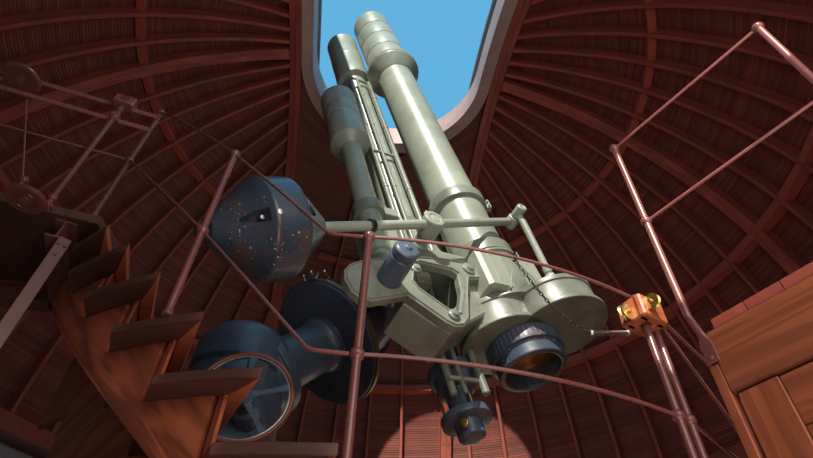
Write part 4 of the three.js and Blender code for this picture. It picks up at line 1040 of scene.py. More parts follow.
def build_beams():
    """Each side beam of the slit: two planks side by side, in lengths whose joints are staggered, with bolts."""
    rng = np.random.default_rng(5)
    for name, side in (("right", 1), ("left", -1)):
        skins = []
        middle = (BEAM_IN + BEAM_OUT) / 2
        for x0, x1, cuts in ((BEAM_IN, middle - 0.0005, (0.3, 26, 62, 98, 134, 170, 179.7)),
                             (middle + 0.0005, BEAM_OUT, (0.3, 44, 80, 116, 152, 179.7))):
            for a, b in zip(cuts[:-1], cuts[1:]):
                low, high = sorted((side * x0, side * x1))
                skins.append(arch(low, high, 3.78, 3.88, a + 0.02, b - 0.02, 14, tint=0.2 + 0.4 * rng.random()))
        angle = np.radians(np.arange(6, 178, 9.0))
        for x in (BEAM_IN + 0.035, BEAM_OUT - 0.035):
            at = CENTRE + np.stack([np.full_like(angle, side * x), -3.78 * np.cos(angle), 3.78 * np.sin(angle)], -1)
            skins.append(heads(at, CENTRE + [side * x, 0, 0] - at, 0.013, 0.007, tint=0.0))
        put(f"{name}_slit_beam_planks", skins, "ribs", "dome", [f"{name}_slit_beam"])


def slit_curve(half, radius, count):
    """Along one side of the slit, round its end and back: plan points at `half` from the middle line, on a sphere.
    Each straight side starts where the sphere has the height of the slit's foot."""
    front = -sqrt(radius ** 2 - half ** 2 - SLIT_FOOT_Z ** 2)
    straight = front + (SLIT_END_Y - front) * np.linspace(0, 1, count, endpoint=False)
    t = np.linspace(0, pi, 49)
    x = np.concatenate([np.full(count, half), half * np.cos(t), np.full(count, -half)])
    y = np.concatenate([straight, SLIT_END_Y + half * np.sin(t), straight[::-1]])
    return CENTRE + np.stack([x, y, np.sqrt(radius ** 2 - x ** 2 - y ** 2)], -1)


def build_slit_board():
    """The curved board round the slit: a four-cornered section whose corners run on two spheres, 3.97 and 4.34 m."""
    corners = [(SLIT_HALF + 0.004, 3.972), (SLIT_HALF, 3.976), (SLIT_HALF, 4.334), (SLIT_HALF + 0.006, 4.339),
               (TRIM_OUT - 0.004, 4.339), (TRIM_OUT, 4.333), (TRIM_OUT, 3.976), (TRIM_OUT - 0.004, 3.972)]
    rings = np.stack([slit_curve(half, radius, 26) for half, radius in corners], 1)
    along = running_length(rings[:, 0])
    across = np.array([0, 0.005, 0.36, 0.37, 0.49, 0.5, 0.86, 0.87])
    uv = np.stack(np.broadcast_arrays(along[:, None], across[None]), -1)
    put("slit_board_curved", lofted(rings, uv), "trim", "dome", ["slit_board"])


def build_roof():
    """Sheet metal outside the boards, with standing seams on every meridian between gores and lapped cross joints."""
    for name, side in (("right", 1), ("left", -1)):
        top = acos(BEAM_IN / ROOF_OUT) - 0.001
        levels = np.linspace(0.001, top, 40)
        flat = np.full_like(levels, 0.5)
        skins = [side_skin(levels, np.full_like(flat, ROOF_IN), np.full_like(flat, ROOF_OUT), flat, side, 109)]
        height = sizes().seam_height
        for k, azimuth in enumerate(FIRST_RIB + (np.arange(27) - 0.5) * RIB_PITCH):
            if ROOF_OUT * sin(azimuth) < BEAM_IN + 0.15:
                continue
            skins.append(meridian_bar(azimuth, 0.014, ROOF_OUT - 0.004, ROOF_OUT - 0.008 + height, side,
                                      stop=BEAM_IN + 0.01, bevel=0.004, steps=24))
            half = RIB_PITCH / 2 * 0.97
            for level in np.radians((17, 35, 52) if k % 2 else (9, 26, 44, 60)):
                reach = ROOF_OUT * cos(level) * sin(azimuth + half)
                if min(reach, ROOF_OUT * cos(level) * sin(azimuth)) < BEAM_IN + 0.1:
                    continue
                turn = azimuth + RIB_PITCH * np.linspace(0.02, 0.98, 6)
                path = on_meridian(ROOF_OUT + 0.001, level, turn) * [side, 1, 1]
                skins.append(swept(path, section_rect(0.006, 0.022, 0.002), path - CENTRE))
        put(f"{name}_roof_sheet", skins, "zinc", "dome", smooth=30)
    for name, front, top in (("back", False, radians(73.4)), ("front", True, radians(9.0))):
        levels = np.linspace(0.001, top, 28)
        flat = np.full_like(levels, 0.5)
        skin = strip_skin(levels, np.full_like(flat, ROOF_IN), np.full_like(flat, ROOF_OUT), flat, front)
        put(f"{name}_roof_sheet", skin, "zinc", "dome", smooth=30)


def shutter_leaf(side):
    """A leaf straight across and curved along: the arc of its radius carried across, with battens and rolled lips."""
    near, far = 1.04, 2.19
    skins = [arch(*sorted((side * near, side * far)), 4.362, 4.372, 12, 116, 52, 0.002)]
    for x in (near + 0.0155, far - 0.0155):
        skins.append(arch(*sorted((side * (x - 0.0145), side * (x + 0.0145))), 4.332, 4.389, 12, 116, 52, 0.004))
    for x in np.linspace(near + 0.2, far - 0.2, 4):
        skins.append(arch(*sorted((side * (x - 0.012), side * (x + 0.012))), 4.371, 4.389, 12.2, 115.8, 52, 0.004))
    for angle in np.radians(np.linspace(12.4, 115.6, 14)):
        away = np.array([0, -cos(angle), sin(angle)])
        path = [CENTRE + away * 4.355 + [side * x, 0, 0] for x in (near + 0.03, far - 0.03)]
        skins.append(swept(path, section_rect(0.016, 0.03, 0.003), away))
    return skins


def build_shutters():
    """Two leaves parted to the sides, on two rails that stand on the roof."""
    for name, side in (("right", 1), ("left", -1)):
        put(f"{name}_shutter_leaf", shutter_leaf(side), "zinc", "dome", [f"{name}_shutter"])
    for name, degrees in (("front", 20), ("back", 108)):
        angle = radians(degrees)
        away = np.array([0, -cos(angle), sin(angle)])
        skins = []
        for depth, wide in ((4.275, 0.06), (4.3235, 0.06)):
            path = [CENTRE + away * depth + [x, 0, 0] for x in (-2.3, 2.3)]
            skins.append(swept(path, section_rect(0.008, wide, 0.002), away))
        path = [CENTRE + away * 4.299 + [x, 0, 0] for x in (-2.299, 2.299)]
        skins.append(swept(path, section_rect(0.044, 0.01), away))
        for x in (-2.24, -1.7, 1.7, 2.24):
            depth = sqrt(ROOF_OUT ** 2 - x * x)
            foot = CENTRE + away * depth + [x, 0, 0]
            skins.append(rod(foot - away * 0.002, CENTRE + away * 4.28 + [x, 0, 0], 0.022, 14))
            normal = unit(foot - CENTRE)
            skins.append(rod(foot, foot + normal * 0.01, 0.055, 18))
            spot = place_along(foot + normal * 0.01, normal)
            ring = np.stack([0.042 * np.cos(np.arange(4) * pi / 2), 0.042 * np.sin(np.arange(4) * pi / 2),
                             np.zeros(4)], -1)
            skins.append(heads(spot.out(ring), np.tile(normal, (4, 1)), 0.008, 0.006))
        put(f"{name}_shutter_track", skins, "zinc", "dome", [f"{name}_shutter_rail"])


def build_dome_ring():
    """The timber ring under the boards, turned from its section, and twelve wheels with flanges on the track."""
    section = rounded([[3.985, 3.73], [4.235, 3.73], [4.235, 3.67], [4.262, 3.67], [4.262, 3.9], [3.985, 3.9],
                       [3.985, 3.73]], 0.006)
    ring = turned(section, 216)
    rim = np.repeat(np.arange(216) // 12, len(section) - 1)
    ring.tint = np.random.default_rng(9).random(18)[rim] * 0.5 + 0.2
    put("dome_ring_planks", ring, "ribs", "dome", ["dome_ring_with_wheels"])
    wheel = rounded([[0.0, -0.03], [0.018, -0.03], [0.018, -0.022], [0.06, -0.022], [0.06, 0.0185],
                     [0.065, 0.0185], [0.065, 0.023], [0.018, 0.023], [0.018, 0.03], [0.0, 0.03]], 0.003)
    skins = []
    for angle in np.radians(np.arange(15, 360, 30)):
        away = np.array([sin(angle), -cos(angle), 0])
        hub = away * 4.11 + [0, 0, 3.7305]
        skins.append(turned(wheel, 28, place_along(hub, away)))
    put("dome_wheels", skins, "dark_steel", "dome")


# Wall, floors and door

DOOR_SIDE = 0.545
WALL_RADIUS = 4.4


def wall_arc(profile, first, last, columns):
    """A section of the wall carried round the axis, from -Y toward +X, from one angle to another, both given for
    each corner. With first = asin(s / rho) each corner starts in the plane x = s, so the doorway's jambs are flat."""
    rho = profile[:, 0]
    angle = first + (last - first) * np.linspace(0, 1, columns)[:, None]
    points = np.stack([rho * np.sin(angle), -rho * np.cos(angle), np.broadcast_to(profile[:, 1], angle.shape)], -1)
    uv = np.stack([angle * WALL_RADIUS, np.broadcast_to(profile[:, 1], angle.shape)], -1)
    return lofted(points, uv)


def build_wall():
    """The drum: plinth, string course and cornice turned in one section, with a doorway in the front."""
    full = rounded([[3.952, 0.0], [4.399, 0.0], [4.399, 0.42], [4.375, 0.46], [4.375, 2.7], [4.398, 2.72],
                    [4.398, 2.8], [4.375, 2.82], [4.375, 3.36], [4.399, 3.42], [4.399, 3.4995], [3.952, 3.4995]],
                   0.01, 2)
    jamb = np.arcsin(DOOR_SIDE / full[:, 0])
    put("drum_wall", wall_arc(full, jamb, 2 * pi - jamb, 217), "masonry", "building",
        ["right_wall", "left_wall"], 30)
    over = rounded([[3.952, 2.3205], [4.375, 2.3205], [4.375, 2.7], [4.398, 2.72], [4.398, 2.8], [4.375, 2.82],
                    [4.375, 3.36], [4.399, 3.42], [4.399, 3.4995], [3.952, 3.4995]], 0.01, 2)
    reach = np.arcsin(DOOR_SIDE / over[:, 0])
    put("wall_over_door", wall_arc(over, -reach, reach, 25), "masonry", "building", ["front_wall"], 30)
    head = rounded([[3.951, 3.5005], [4.479, 3.5005], [4.479, 3.59], [4.15, 3.63], [4.15, 3.655], [4.07, 3.655],
                    [4.06, 3.61], [3.951, 3.59], [3.951, 3.5005]], 0.008, 2)
    put("wall_head", turned(head, 216), "concrete", "building", ["wall_head_with_track"], 30)
    rail = rounded([[4.072, 3.654], [4.148, 3.654], [4.148, 3.66], [4.126, 3.664], [4.126, 3.6695], [4.094, 3.6695],
                    [4.094, 3.664], [4.072, 3.66], [4.072, 3.654]], 0.002, 2)
    put("dome_track", turned(rail, 216), "dark_steel", "building")


def build_door():
    """Frame of three planed timbers with a sill, and a leaf of five panels with rails, hinges and a knob."""
    inner, outer, top = 0.475, 0.5445, 2.32
    y0, y1 = -4.33, -4.231
    frame_skins = [
        block((-outer, y0, 0.0), (-inner, y1, top - 0.0003), 0.006, grain=2, tint=0.4),
        block((inner, y0, 0.0), (outer, y1, top - 0.0003), 0.006, grain=2, tint=0.6),
        block((-inner, y0, 2.25), (inner, y1, top - 0.0003), 0.006, tint=0.5),
        block((-inner, y0, 0.0), (inner, y1, 0.199), 0.006, tint=0.3),
    ]
    put("door_frame_timbers", frame_skins, "treads", "building", ["door_frame"])
    low, high, side = 0.2005, 2.2455, 0.4705
    skins = [block((-side, -4.305, low), (-side + 0.11, -4.262, high), 0.004, grain=2, tint=0.5),
             block((side - 0.11, -4.305, low), (side, -4.262, high), 0.004, grain=2, tint=0.6),
             block((-0.045, -4.304, low + 0.1), (0.045, -4.263, high - 0.1), 0.004, grain=2, tint=0.4)]
    for z0, z1 in ((low, low + 0.2), (1.02, 1.16), (1.62, 1.72), (high - 0.12, high)):
        skins.append(block((-side + 0.108, -4.304, z0), (side - 0.108, -4.263, z1), 0.004, tint=0.45))
    for x0, x1 in ((-side + 0.1, -0.04), (0.04, side - 0.1)):
        for z0, z1 in ((low + 0.19, 1.03), (1.15, 1.63), (1.71, high - 0.11)):
            skins.append(block((x0, -4.292, z0), (x1, -4.275, z1), 0.008, grain=2, tint=0.55))
            skins.append(block((x0 + 0.05, -4.298, z0 + 0.06), (x1 - 0.05, -4.276, z1 - 0.06), 0.01, grain=2,
                               tint=0.6))
    put("door_leaf_panels", skins, "ribs", "building", ["door_leaf"])
    knob = rounded([[0.0, 0.0], [0.026, 0.0], [0.026, 0.006], [0.01, 0.01], [0.01, 0.028], [0.022, 0.036],
                    [0.024, 0.046], [0.014, 0.055], [0.0, 0.056]], 0.004)
    hardware = [turned(knob, 28, place_along((0.395, -4.303, 1.25), (0, -1, 0)))]
    hardware.append(block((0.372, -4.308, 1.14), (0.418, -4.303, 1.33), 0.002))
    for z in (0.45, 1.25, 2.0):
        hardware.append(rod((-0.468, -4.309, z - 0.05), (-0.468, -4.309, z + 0.05), 0.009, 14))
        hardware.append(block((-0.462, -4.307, z - 0.045), (-0.3, -4.3035, z + 0.045), 0.001))
    put("door_knob_and_hinges", hardware, "brass", "building")


PIER_PLAN = np.array([-0.8, -0.42])


def build_floors():
    """Planks of the observing floor, each cut where its strip meets the round edge or the hole at the pier, with a
    nosing ring and joists below, and the round wall that carries it."""
    wide, gap = sizes().plank_width, 0.004
    y = np.arange(-2.04 + wide / 2, 2.04, wide)
    rng = np.random.default_rng(21)
    low, high, hole = 1.768, 1.7995, 0.3
    skins = []
    for centre in y:
        edge = abs(centre) + wide / 2
        reach = sqrt(max(2.02 ** 2 - edge ** 2, 0))
        if reach < 0.15:
            continue
        near = abs(centre - PIER_PLAN[1])
        stops = [(-reach, reach)]
        if near < hole + wide / 2:
            half = sqrt(max(hole ** 2 - max(near - wide / 2, 0) ** 2, 0.01))
            stops = [(-reach, PIER_PLAN[0] - half), (PIER_PLAN[0] + half, reach)]
        for a, b in stops:
            cut = a + (b - a) * (0.3 + 0.4 * rng.random())
            for p, q in ((a, cut - 0.001), (cut + 0.001, b)) if b - a > 1.6 else ((a, b),):
                skins.append(block((p, centre - wide / 2 + gap / 2, low), (q, centre + wide / 2 - gap / 2, high),
                                   0.003, tint=rng.random() * 0.7 + 0.1))
    nosing = rounded([[1.99, 1.712], [2.059, 1.712], [2.059, 1.7998], [2.018, 1.7998], [2.018, 1.767],
                      [1.99, 1.767], [1.99, 1.712]], 0.006)
    skins.append(turned(nosing, 144, tint=0.4))
    collar = ring_profile(0.296, 0.33, 1.722, 1.7998, 0.004)
    skins.append(turned(collar, 48, WORLD.shifted((*PIER_PLAN, 0)), tint=0.3))
    for x in np.arange(-1.8, 1.81, 0.45):
        reach = sqrt(1.985 ** 2 - (abs(x) + 0.035) ** 2)
        spans = [(-reach, reach)]
        if abs(x - PIER_PLAN[0]) < 0.34:
            spans = [(-reach, PIER_PLAN[1] - 0.34), (PIER_PLAN[1] + 0.34, reach)]
        for a, b in spans:
            skins.append(block((x - 0.035, a, 1.7105), (x + 0.035, b, 1.767), 0.004, grain=1, tint=0.35))
    put("observing_floor_planks", skins, "planks", "building", ["observing_floor"])
    drum = rounded([[1.78, 0.2005], [1.959, 0.2005], [1.959, 0.3], [1.945, 0.32], [1.945, 1.7092], [1.78, 1.7092],
                    [1.78, 0.2005]], 0.006)
    put("podium_drum", turned(drum, 144), "masonry", "building", ["podium_wall"], 30)


# Telescope and its mount. Pieces of the tubes are given by x and y from the line MAIN and z along it


def tube_place(x, y):
    """A Place whose Z is a line along the telescope, at x and y from MAIN."""
    return MAIN.shifted((x, y, 0))


def ring_of(place, radius, z, count, start):
    """Points evenly round a circle in the place's X and Y, at height z."""
    t = np.linspace(0, 2 * pi, count, endpoint=False) + start
    return place.out(np.stack([radius * np.cos(t), radius * np.sin(t), np.full(count, z)], -1))


def screws(place, radius, z, count, size, height, up=1, start=0.0):
    """Screw heads round a circle, standing up or down along the place's Z."""
    normal = place.basis[2] * up
    points = ring_of(place, radius, z, count, start)
    return heads(points, np.tile(normal, (count, 1)), size, height)


def band(radius, z, wide, proud):
    """Profile of a ring that stands proud of a tube; it closes on itself."""
    return ring_profile(radius - 0.002, radius + proud, z, z + wide, 0.002, 2)


def build_tubes():
    """The main tube, its dew cap with three rolled grooves, the second tube and the guide tube, turned from their
    profiles, with a lens in each and a cell with screws for the largest."""
    main = tube_place(0.16, 0)
    body = rounded([[0, -0.8995], [0.15, -0.8995], [0.1695, -0.89], [0.1695, 2.165], [0.176, 2.17], [0.25, 2.29],
                    [0.2545, 2.3], [0.2545, 2.352], [0.249, 2.3598], [0.1, 2.3598], [0.09, 2.345],
                    [0, 2.345]], 0.004)
    skins = [turned(body, 112, main)]
    skins.append(turned(band(0.2545, 2.312, 0.022, 0.0), 112, main))
    skins.append(screws(main, 0.236, 2.3598, 16, 0.008, 0.0))
    put("main_tube_enamelled", skins, "tube", "telescope", ["main_tube"])

    cap = [[0.186, 2.3608], [0.2045, 2.3608]]
    for z in (2.66, 2.96, 3.26):
        cap += [[0.2045, z - 0.007], [0.1985, z - 0.004], [0.1985, z + 0.004], [0.2045, z + 0.007]]
    cap += [[0.204, 3.53], [0.2049, 3.535], [0.2049, 3.562], [0.202, 3.5648], [0.189, 3.5648], [0.186, 3.558],
            [0.186, 2.3608]]
    put("main_dew_cap_rolled", turned(rounded(cap, 0.0015, 2), 112, main), "tube", "telescope",
        ["main_dew_cap"])
    cell = rounded([[0.126, 2.3605], [0.172, 2.3605], [0.172, 2.385], [0.13, 2.385], [0.126, 2.3605]], 0.002)
    put("main_lens_cell", [turned(cell, 72, main), screws(main, 0.15, 2.385, 12, 0.006, 0.004)], "brass",
        "telescope")
    dome = np.linspace(0, 1, 10)
    bulge = np.stack([0.128 * dome, 2.38 - 0.012 * dome ** 2], -1)
    put("main_lens", turned(np.concatenate([bulge, [[0.128, 2.361], [0, 2.361]]]), 72, main), "glass",
        "telescope")

    second = tube_place(-0.1, 0.3)
    skins = [turned(rounded([[0, -0.6195], [0.11, -0.6195], [0.1195, -0.612], [0.1195, 2.468], [0.16, 2.48],
                             [0.1695, 2.486], [0.1695, 2.64], [0.1675, 2.645], [0.1675, 2.955], [0.1695, 2.96],
                             [0.1695, 2.985], [0.1675, 2.99], [0.1675, 3.415], [0.1695, 3.42], [0.1695, 3.4495],
                             [0.1505, 3.4495], [0.1505, 2.6005], [0, 2.6005]], 0.003, 2), 96, second)]
    put("second_tube_enamelled", skins, "tube", "telescope", ["second_tube"])
    glass = np.stack([0.118 * dome, 2.635 - 0.01 * dome ** 2], -1)
    put("second_lens", turned(np.concatenate([glass, [[0.118, 2.601], [0, 2.601]]]), 64, second), "glass",
        "telescope")

    guide = tube_place(-0.425, 0.2)
    skins = [turned(rounded([[0, -0.2995], [0.066, -0.2995], [0.0795, -0.29], [0.0795, 0.897], [0.084, 0.903],
                             [0.15, 0.958], [0.1545, 0.965], [0.1545, 1.1], [0.1525, 1.105],
                             [0.1525, 1.296], [0.148, 1.299], [0.148, 1.303], [0.1525, 1.306], [0.1525, 1.476],
                             [0.148, 1.479], [0.148, 1.483], [0.1525, 1.486], [0.1525, 1.665],
                             [0.1545, 1.67], [0.1545, 1.6995], [0.1385, 1.6995], [0.1385, 1.1005], [0, 1.1005]],
                            0.003, 2), 80, guide)]
    end = rounded([[0, -0.33], [0.05, -0.33], [0.06, -0.322], [0.06, -0.299], [0, -0.299]], 0.003)
    skins.append(turned(end, 48, guide))
    put("guide_tube_enamelled", skins, "tube", "telescope", ["guide_tube"])
    glass = np.stack([0.1 * dome, 1.135 - 0.008 * dome ** 2], -1)
    put("guide_lens", turned(np.concatenate([glass, [[0.1, 1.101], [0, 1.101]]]), 56, guide), "glass",
        "telescope")


def collar_round(x, y, inner, outer, z0, z1, bolts=True):
    """A clamp ring round a tube: two halves whose ears meet at the sides and are drawn together by bolts."""
    place = tube_place(x, y)
    skins = [turned(ring_profile(inner, outer, z0, z1, 0.004), 96, place)]
    if bolts:
        for turn in (radians(150), radians(-30)):
            away = np.array([cos(turn), sin(turn), 0])
            side = np.array([-away[1], away[0], 0])
            ear = Place(place.out([0, 0, 0]), *(np.array([away, side, [0, 0, 1]]) @ place.basis))
            skins.append(block((outer - 0.008, -0.02, z0 + 0.008), (outer + 0.034, -0.002, z1 - 0.008), 0.003, ear))
            skins.append(block((outer - 0.008, 0.002, z0 + 0.008), (outer + 0.034, 0.02, z1 - 0.008), 0.003, ear))
            for z in (z0 + 0.024, z1 - 0.024):
                a, b = ear.out([outer + 0.018, -0.03, z]), ear.out([outer + 0.018, 0.03, z])
                skins.append(rod(a, b, 0.006, 8))
                skins.append(heads(np.array([a, b]), np.array([a - b, b - a]), 0.0095, 0.006))
    return skins


FRONT_PLATE = np.array([[-880, -930], [-872, -868], [-835, -815], [-790, -785], [-700, -740], [-550, -690],
                        [-400, -640], [-250, -612], [-110, -600], [-45, -615], [-20, -645], [-20, -700], [-60, -722],
                        [-130, -740], [-190, -890], [-240, -1040], [-285, -1095], [-340, -1110], [-395, -1088],
                        [-430, -1060], [-560, -960], [-640, -990], [-760, -1040], [-815, -1035],
                        [-855, -1005]]) / 1000
FRONT_OPENING = np.array([[-200, -722], [-225, -860], [-290, -1005], [-330, -1010], [-480, -890], [-500, -850],
                          [-455, -715], [-420, -695], [-230, -700]]) / 1000
WEB = np.array([[-560, -960], [-430, -1060], [-340, -1110], [-240, -1040], [-20, -900], [-20, -480],
                [-400, -480]]) / 1000
WEB_HOLE = np.array([[-460, -900], [-340, -1000], [-120, -800], [-150, -560], [-400, -560]]) / 1000


def plate_place():
    """A Place whose X and Y are the tubes' x and z, and whose Z is the way from the tubes toward the viewer."""
    return Place(MAIN.origin, MAIN.basis[0], MAIN.basis[2], -MAIN.basis[1])


def build_cradle():
    """Saddle, clamp rings, the flange's shaft, and the ribbed front casting with its oval plate and openings."""
    skins = [
        block((-0.469, 0.2, -0.559), (0.329, 0.374, 0.159), 0.018, MAIN),
        block((-0.43, 0.192, -0.52), (0.29, 0.21, 0.12), 0.006, MAIN),
    ]
    face = plate_place()
    shaft = rounded([[0, -0.4425], [0.19, -0.4425], [0.199, -0.436], [0.199, -0.405], [0.18, -0.395],
                     [0.18, -0.35], [0, -0.35]], 0.004)
    skins.append(turned(shaft, 80, face))
    skins.append(screws(face, 0.165, -0.4425, 12, 0.012, 0.0, up=-1))
    for z in (-0.48, 0.06):
        skins += collar_round(0.16, 0, 0.1703, 0.197, z, z + 0.09)
        skins += collar_round(-0.425, 0.2, 0.0803, 0.107, z, z + 0.09, bolts=False)
        skins += collar_round(-0.1, 0.3, 0.1203, 0.142, z, z + 0.09, bolts=False)
        for x0, x1 in ((-0.398, -0.235), (0.045, 0.328)):
            skins.append(block((x0, 0.14, z + 0.002), (x1, 0.3, z + 0.088), 0.008, MAIN))
    skins.append(plate(FRONT_PLATE, 0.0705, 0.1195, face, 0.006, [FRONT_OPENING]))
    for rim in (inset(FRONT_PLATE, 0.012), inset(FRONT_OPENING, -0.012)):
        closed = np.concatenate([rim, np.full((len(rim), 1), 0.1195)], 1)
        skins.append(swept(face.out(closed), section_rect(0.014, 0.006, 0.002), face.basis[2], closed=True))
    skins.append(plate(WEB, -0.1645, 0.0695, face, 0.01, [WEB_HOLE]))
    skins.append(block((-0.329, 0.045, -0.639), (-0.231, 0.24, -0.401), 0.01, MAIN))
    for x, z, r in ((-0.11, -0.66, 0.04), (-0.47, -0.76, 0.03), (-0.335, -1.04, 0.032)):
        spot = face.shifted((x, z, 0.119))
        skins.append(lathe([[0, 0], [r, 0], [r, 0.012], [r * 0.55, 0.018], [r * 0.55, 0.026], [0, 0.027]],
                           0.003, 36, spot))
    put("tube_cradle_casting", skins, "breech", "telescope", ["tube_cradle"])

    spot = face.shifted((-0.65, -0.88, 0))
    weight = rounded([[0, 0.1205], [0.052, 0.1205], [0.0615, 0.128], [0.0615, 0.268], [0.056, 0.276], [0.0615, 0.284],
                      [0.0615, 0.318], [0.05, 0.328], [0.02, 0.33], [0.02, 0.333], [0.013, 0.3395], [0, 0.3395]],
                     0.003)
    put("balance_weight_turned", turned(weight, 56, spot), "mount", "telescope",
        ["small_balance_weight"])


def build_breech():
    """Two overlapping drums with double rims, the neck, and a box with an inspection plate on each side."""
    skins = []
    for x, y, r, rim in ((0.37, -0.13, 0.2495, 0.2615), (0.12, 0.06, 0.2345, 0.2465)):
        body = rounded([[0, -1.0095], [rim, -1.0095], [rim, -0.9855], [r - 0.008, -0.9855], [r - 0.008, -0.862],
                        [r, -0.862], [r, -0.8305], [0, -0.8305]], 0.005)
        skins.append(turned(body, 144, tube_place(x, y)))
        skins.append(screws(tube_place(x, y), rim - 0.02, -1.0095, 18, 0.0075, 0.0, up=-1))
        skins.append(screws(tube_place(x, y), r - 0.02, -0.8305, 14, 0.0085, 0.006, start=0.2))
    neck = rounded([[0.1705, -0.859], [0.2115, -0.859], [0.2115, -0.846], [0.198, -0.836], [0.198, -0.522],
                    [0.2115, -0.516], [0.2115, -0.5005], [0.1705, -0.5005], [0.1705, -0.859]], 0.004)
    skins.append(turned(neck, 128, tube_place(0.16, 0)))
    skins.append(screws(tube_place(0.16, 0), 0.204, -0.5005, 16, 0.006, 0.0))
    skins.append(block((-0.059, -0.189, -0.8305), (0.379, 0.174, -0.5205), 0.02, MAIN))
    face = plate_place()
    cover = np.array([[0.01, -0.79], [0.31, -0.79], [0.31, -0.565], [0.01, -0.565]])
    skins.append(plate(cover, 0.186, 0.1895, face, 0.0015))
    at = np.array([[x, z, 0.1893] for x in (0.025, 0.16, 0.295) for z in (-0.775, -0.58)])
    skins.append(heads(face.out(at), np.tile(face.basis[2], (len(at), 1)), 0.0065, 0.001))
    for a, b in (((0.06, -0.83), (0.2, -0.55)), ((0.345, -0.83), (0.2, -0.55))):
        path = face.out(np.array([[*a, 0.188], [*b, 0.188]]))
        skins.append(swept(path, section_rect(0.018, 0.004, 0.0015), face.basis[2]))
    put("breech_casting", skins, "breech", "telescope", ["breech_flange"])

    place = tube_place(0.215, 0.04)
    holder = rounded([[0.118, -1.06], [0.15, -1.072], [0.15, -1.172], [0.156, -1.1745], [0.18, -1.1745],
                      [0.1845, -1.168], [0.1845, -1.102], [0.2045, -1.098], [0.2045, -1.016], [0.198, -1.0105],
                      [0.118, -1.0105], [0.118, -1.06]], 0.003)
    skins = [turned(holder, 112, place), screws(place, 0.166, -1.1745, 12, 0.006, 0.0, up=-1)]
    t = np.radians(np.arange(0, 360, 7.5))
    grip = place.out(np.stack([0.2035 * np.cos(t), 0.2035 * np.sin(t), np.full(len(t), -1.057)], -1))
    away = grip - place.out([0, 0, -1.057])
    bases = np.stack([np.cross(unit(away), np.broadcast_to(place.basis[2], away.shape)), unit(away),
                      np.broadcast_to(place.basis[2], away.shape)], 1)
    skins.append(bricks(grip, [0.003, 0.0014, 0.03], bases))
    put("plate_holder_turned", skins, "iron", "telescope", ["plate_holder_ring"])
    inner = lathe([[0, -1.075], [0.1, -1.075], [0.149, -1.082], [0.149, -1.066], [0, -1.066]], 0.003, 96,
          place)
    put("plate_holder_back", [inner, turned(ring_profile(0.112, 0.128, -1.083, -1.077, 0.001), 96, place)],
        "brass", "telescope")

    place = tube_place(-0.1, 0.3)
    tail = rounded([[0, -1.4195], [0.04, -1.4195], [0.064, -1.412], [0.0695, -1.404], [0.0695, -1.335],
                    [0.1295, -1.3285], [0.1295, -1.2915], [0.0695, -1.286], [0.0695, -1.155], [0.1045, -1.149],
                    [0.1045, -1.078], [0.1295, -1.0745], [0.1295, -1.0205], [0.0715, -1.018], [0.0715, -0.6205],
                    [0, -0.6205]], 0.003)
    skins = [turned(tail, 96, place), screws(place, 0.118, -1.0205, 12, 0.006, 0.0)]
    put("second_tube_tail_turned", skins, "mount", "telescope", ["second_tube_tail"])
    skins = [screws(place, 0.112, -1.3285, 10, 0.006, 0.0, up=-1)]
    for k in range(3):
        t = radians(20 + 120 * k)
        x, y = 0.099 * cos(t), 0.099 * sin(t)
        skins.append(rod(place.out([x, y, -1.292]), place.out([x, y, -1.148]), 0.008, 14))
    for t0 in (40, 220):
        t = radians(t0)
        away = np.array([cos(t), sin(t), 0])
        base = place.out(away * 0.068 + [0, 0, -1.37])
        spot = place_along(base, away @ place.basis)
        knob = rounded([[0, 0], [0.01, 0], [0.01, 0.02], [0.024, 0.022], [0.026, 0.034], [0.02, 0.04],
                        [0, 0.041]], 0.002)
        skins.append(turned(knob, 32, spot))
    put("tail_brass_fittings", skins, "brass", "telescope")


def build_rods():
    """Three long focusing and clamping rods with knurled ends, held by straps across them."""
    skins = []
    for x, y, r in ((-0.235, 0.175, 0.02), (-0.18, 0.15, 0.014), (-0.06, 0.145, 0.022)):
        place = tube_place(x, y)
        points = [[0, -1.2695], [r * 0.7, -1.2695], [r, -1.262], [r, 2.24], [r * 0.7, 2.2495], [0, 2.2495]]
        skins.append(turned(rounded(points, 0.002), 28, place))
        for z in (-0.62, 0.45, 1.35, 1.9):
            skins.append(turned(band(r, z, 0.02, 0.004), 28, place))
    for z in (0.9, 2.226, -1.2):
        skins.append(block((-0.2545, 0.139, z + 0.0005), (-0.041, 0.159, z + 0.0235), 0.004, MAIN))
    put("control_rods_turned", skins, "breech", "telescope", ["control_rods"])


LEVER_Y = -0.225
LEVER_LEFT = MAIN.out([-1.02, LEVER_Y, -0.745])
LEVER_RIGHT = MAIN.out([0.33, LEVER_Y, -0.21])
LEVER_ALONG = unit(LEVER_RIGHT - LEVER_LEFT)
TOWARD_VIEW = -MAIN.basis[1]


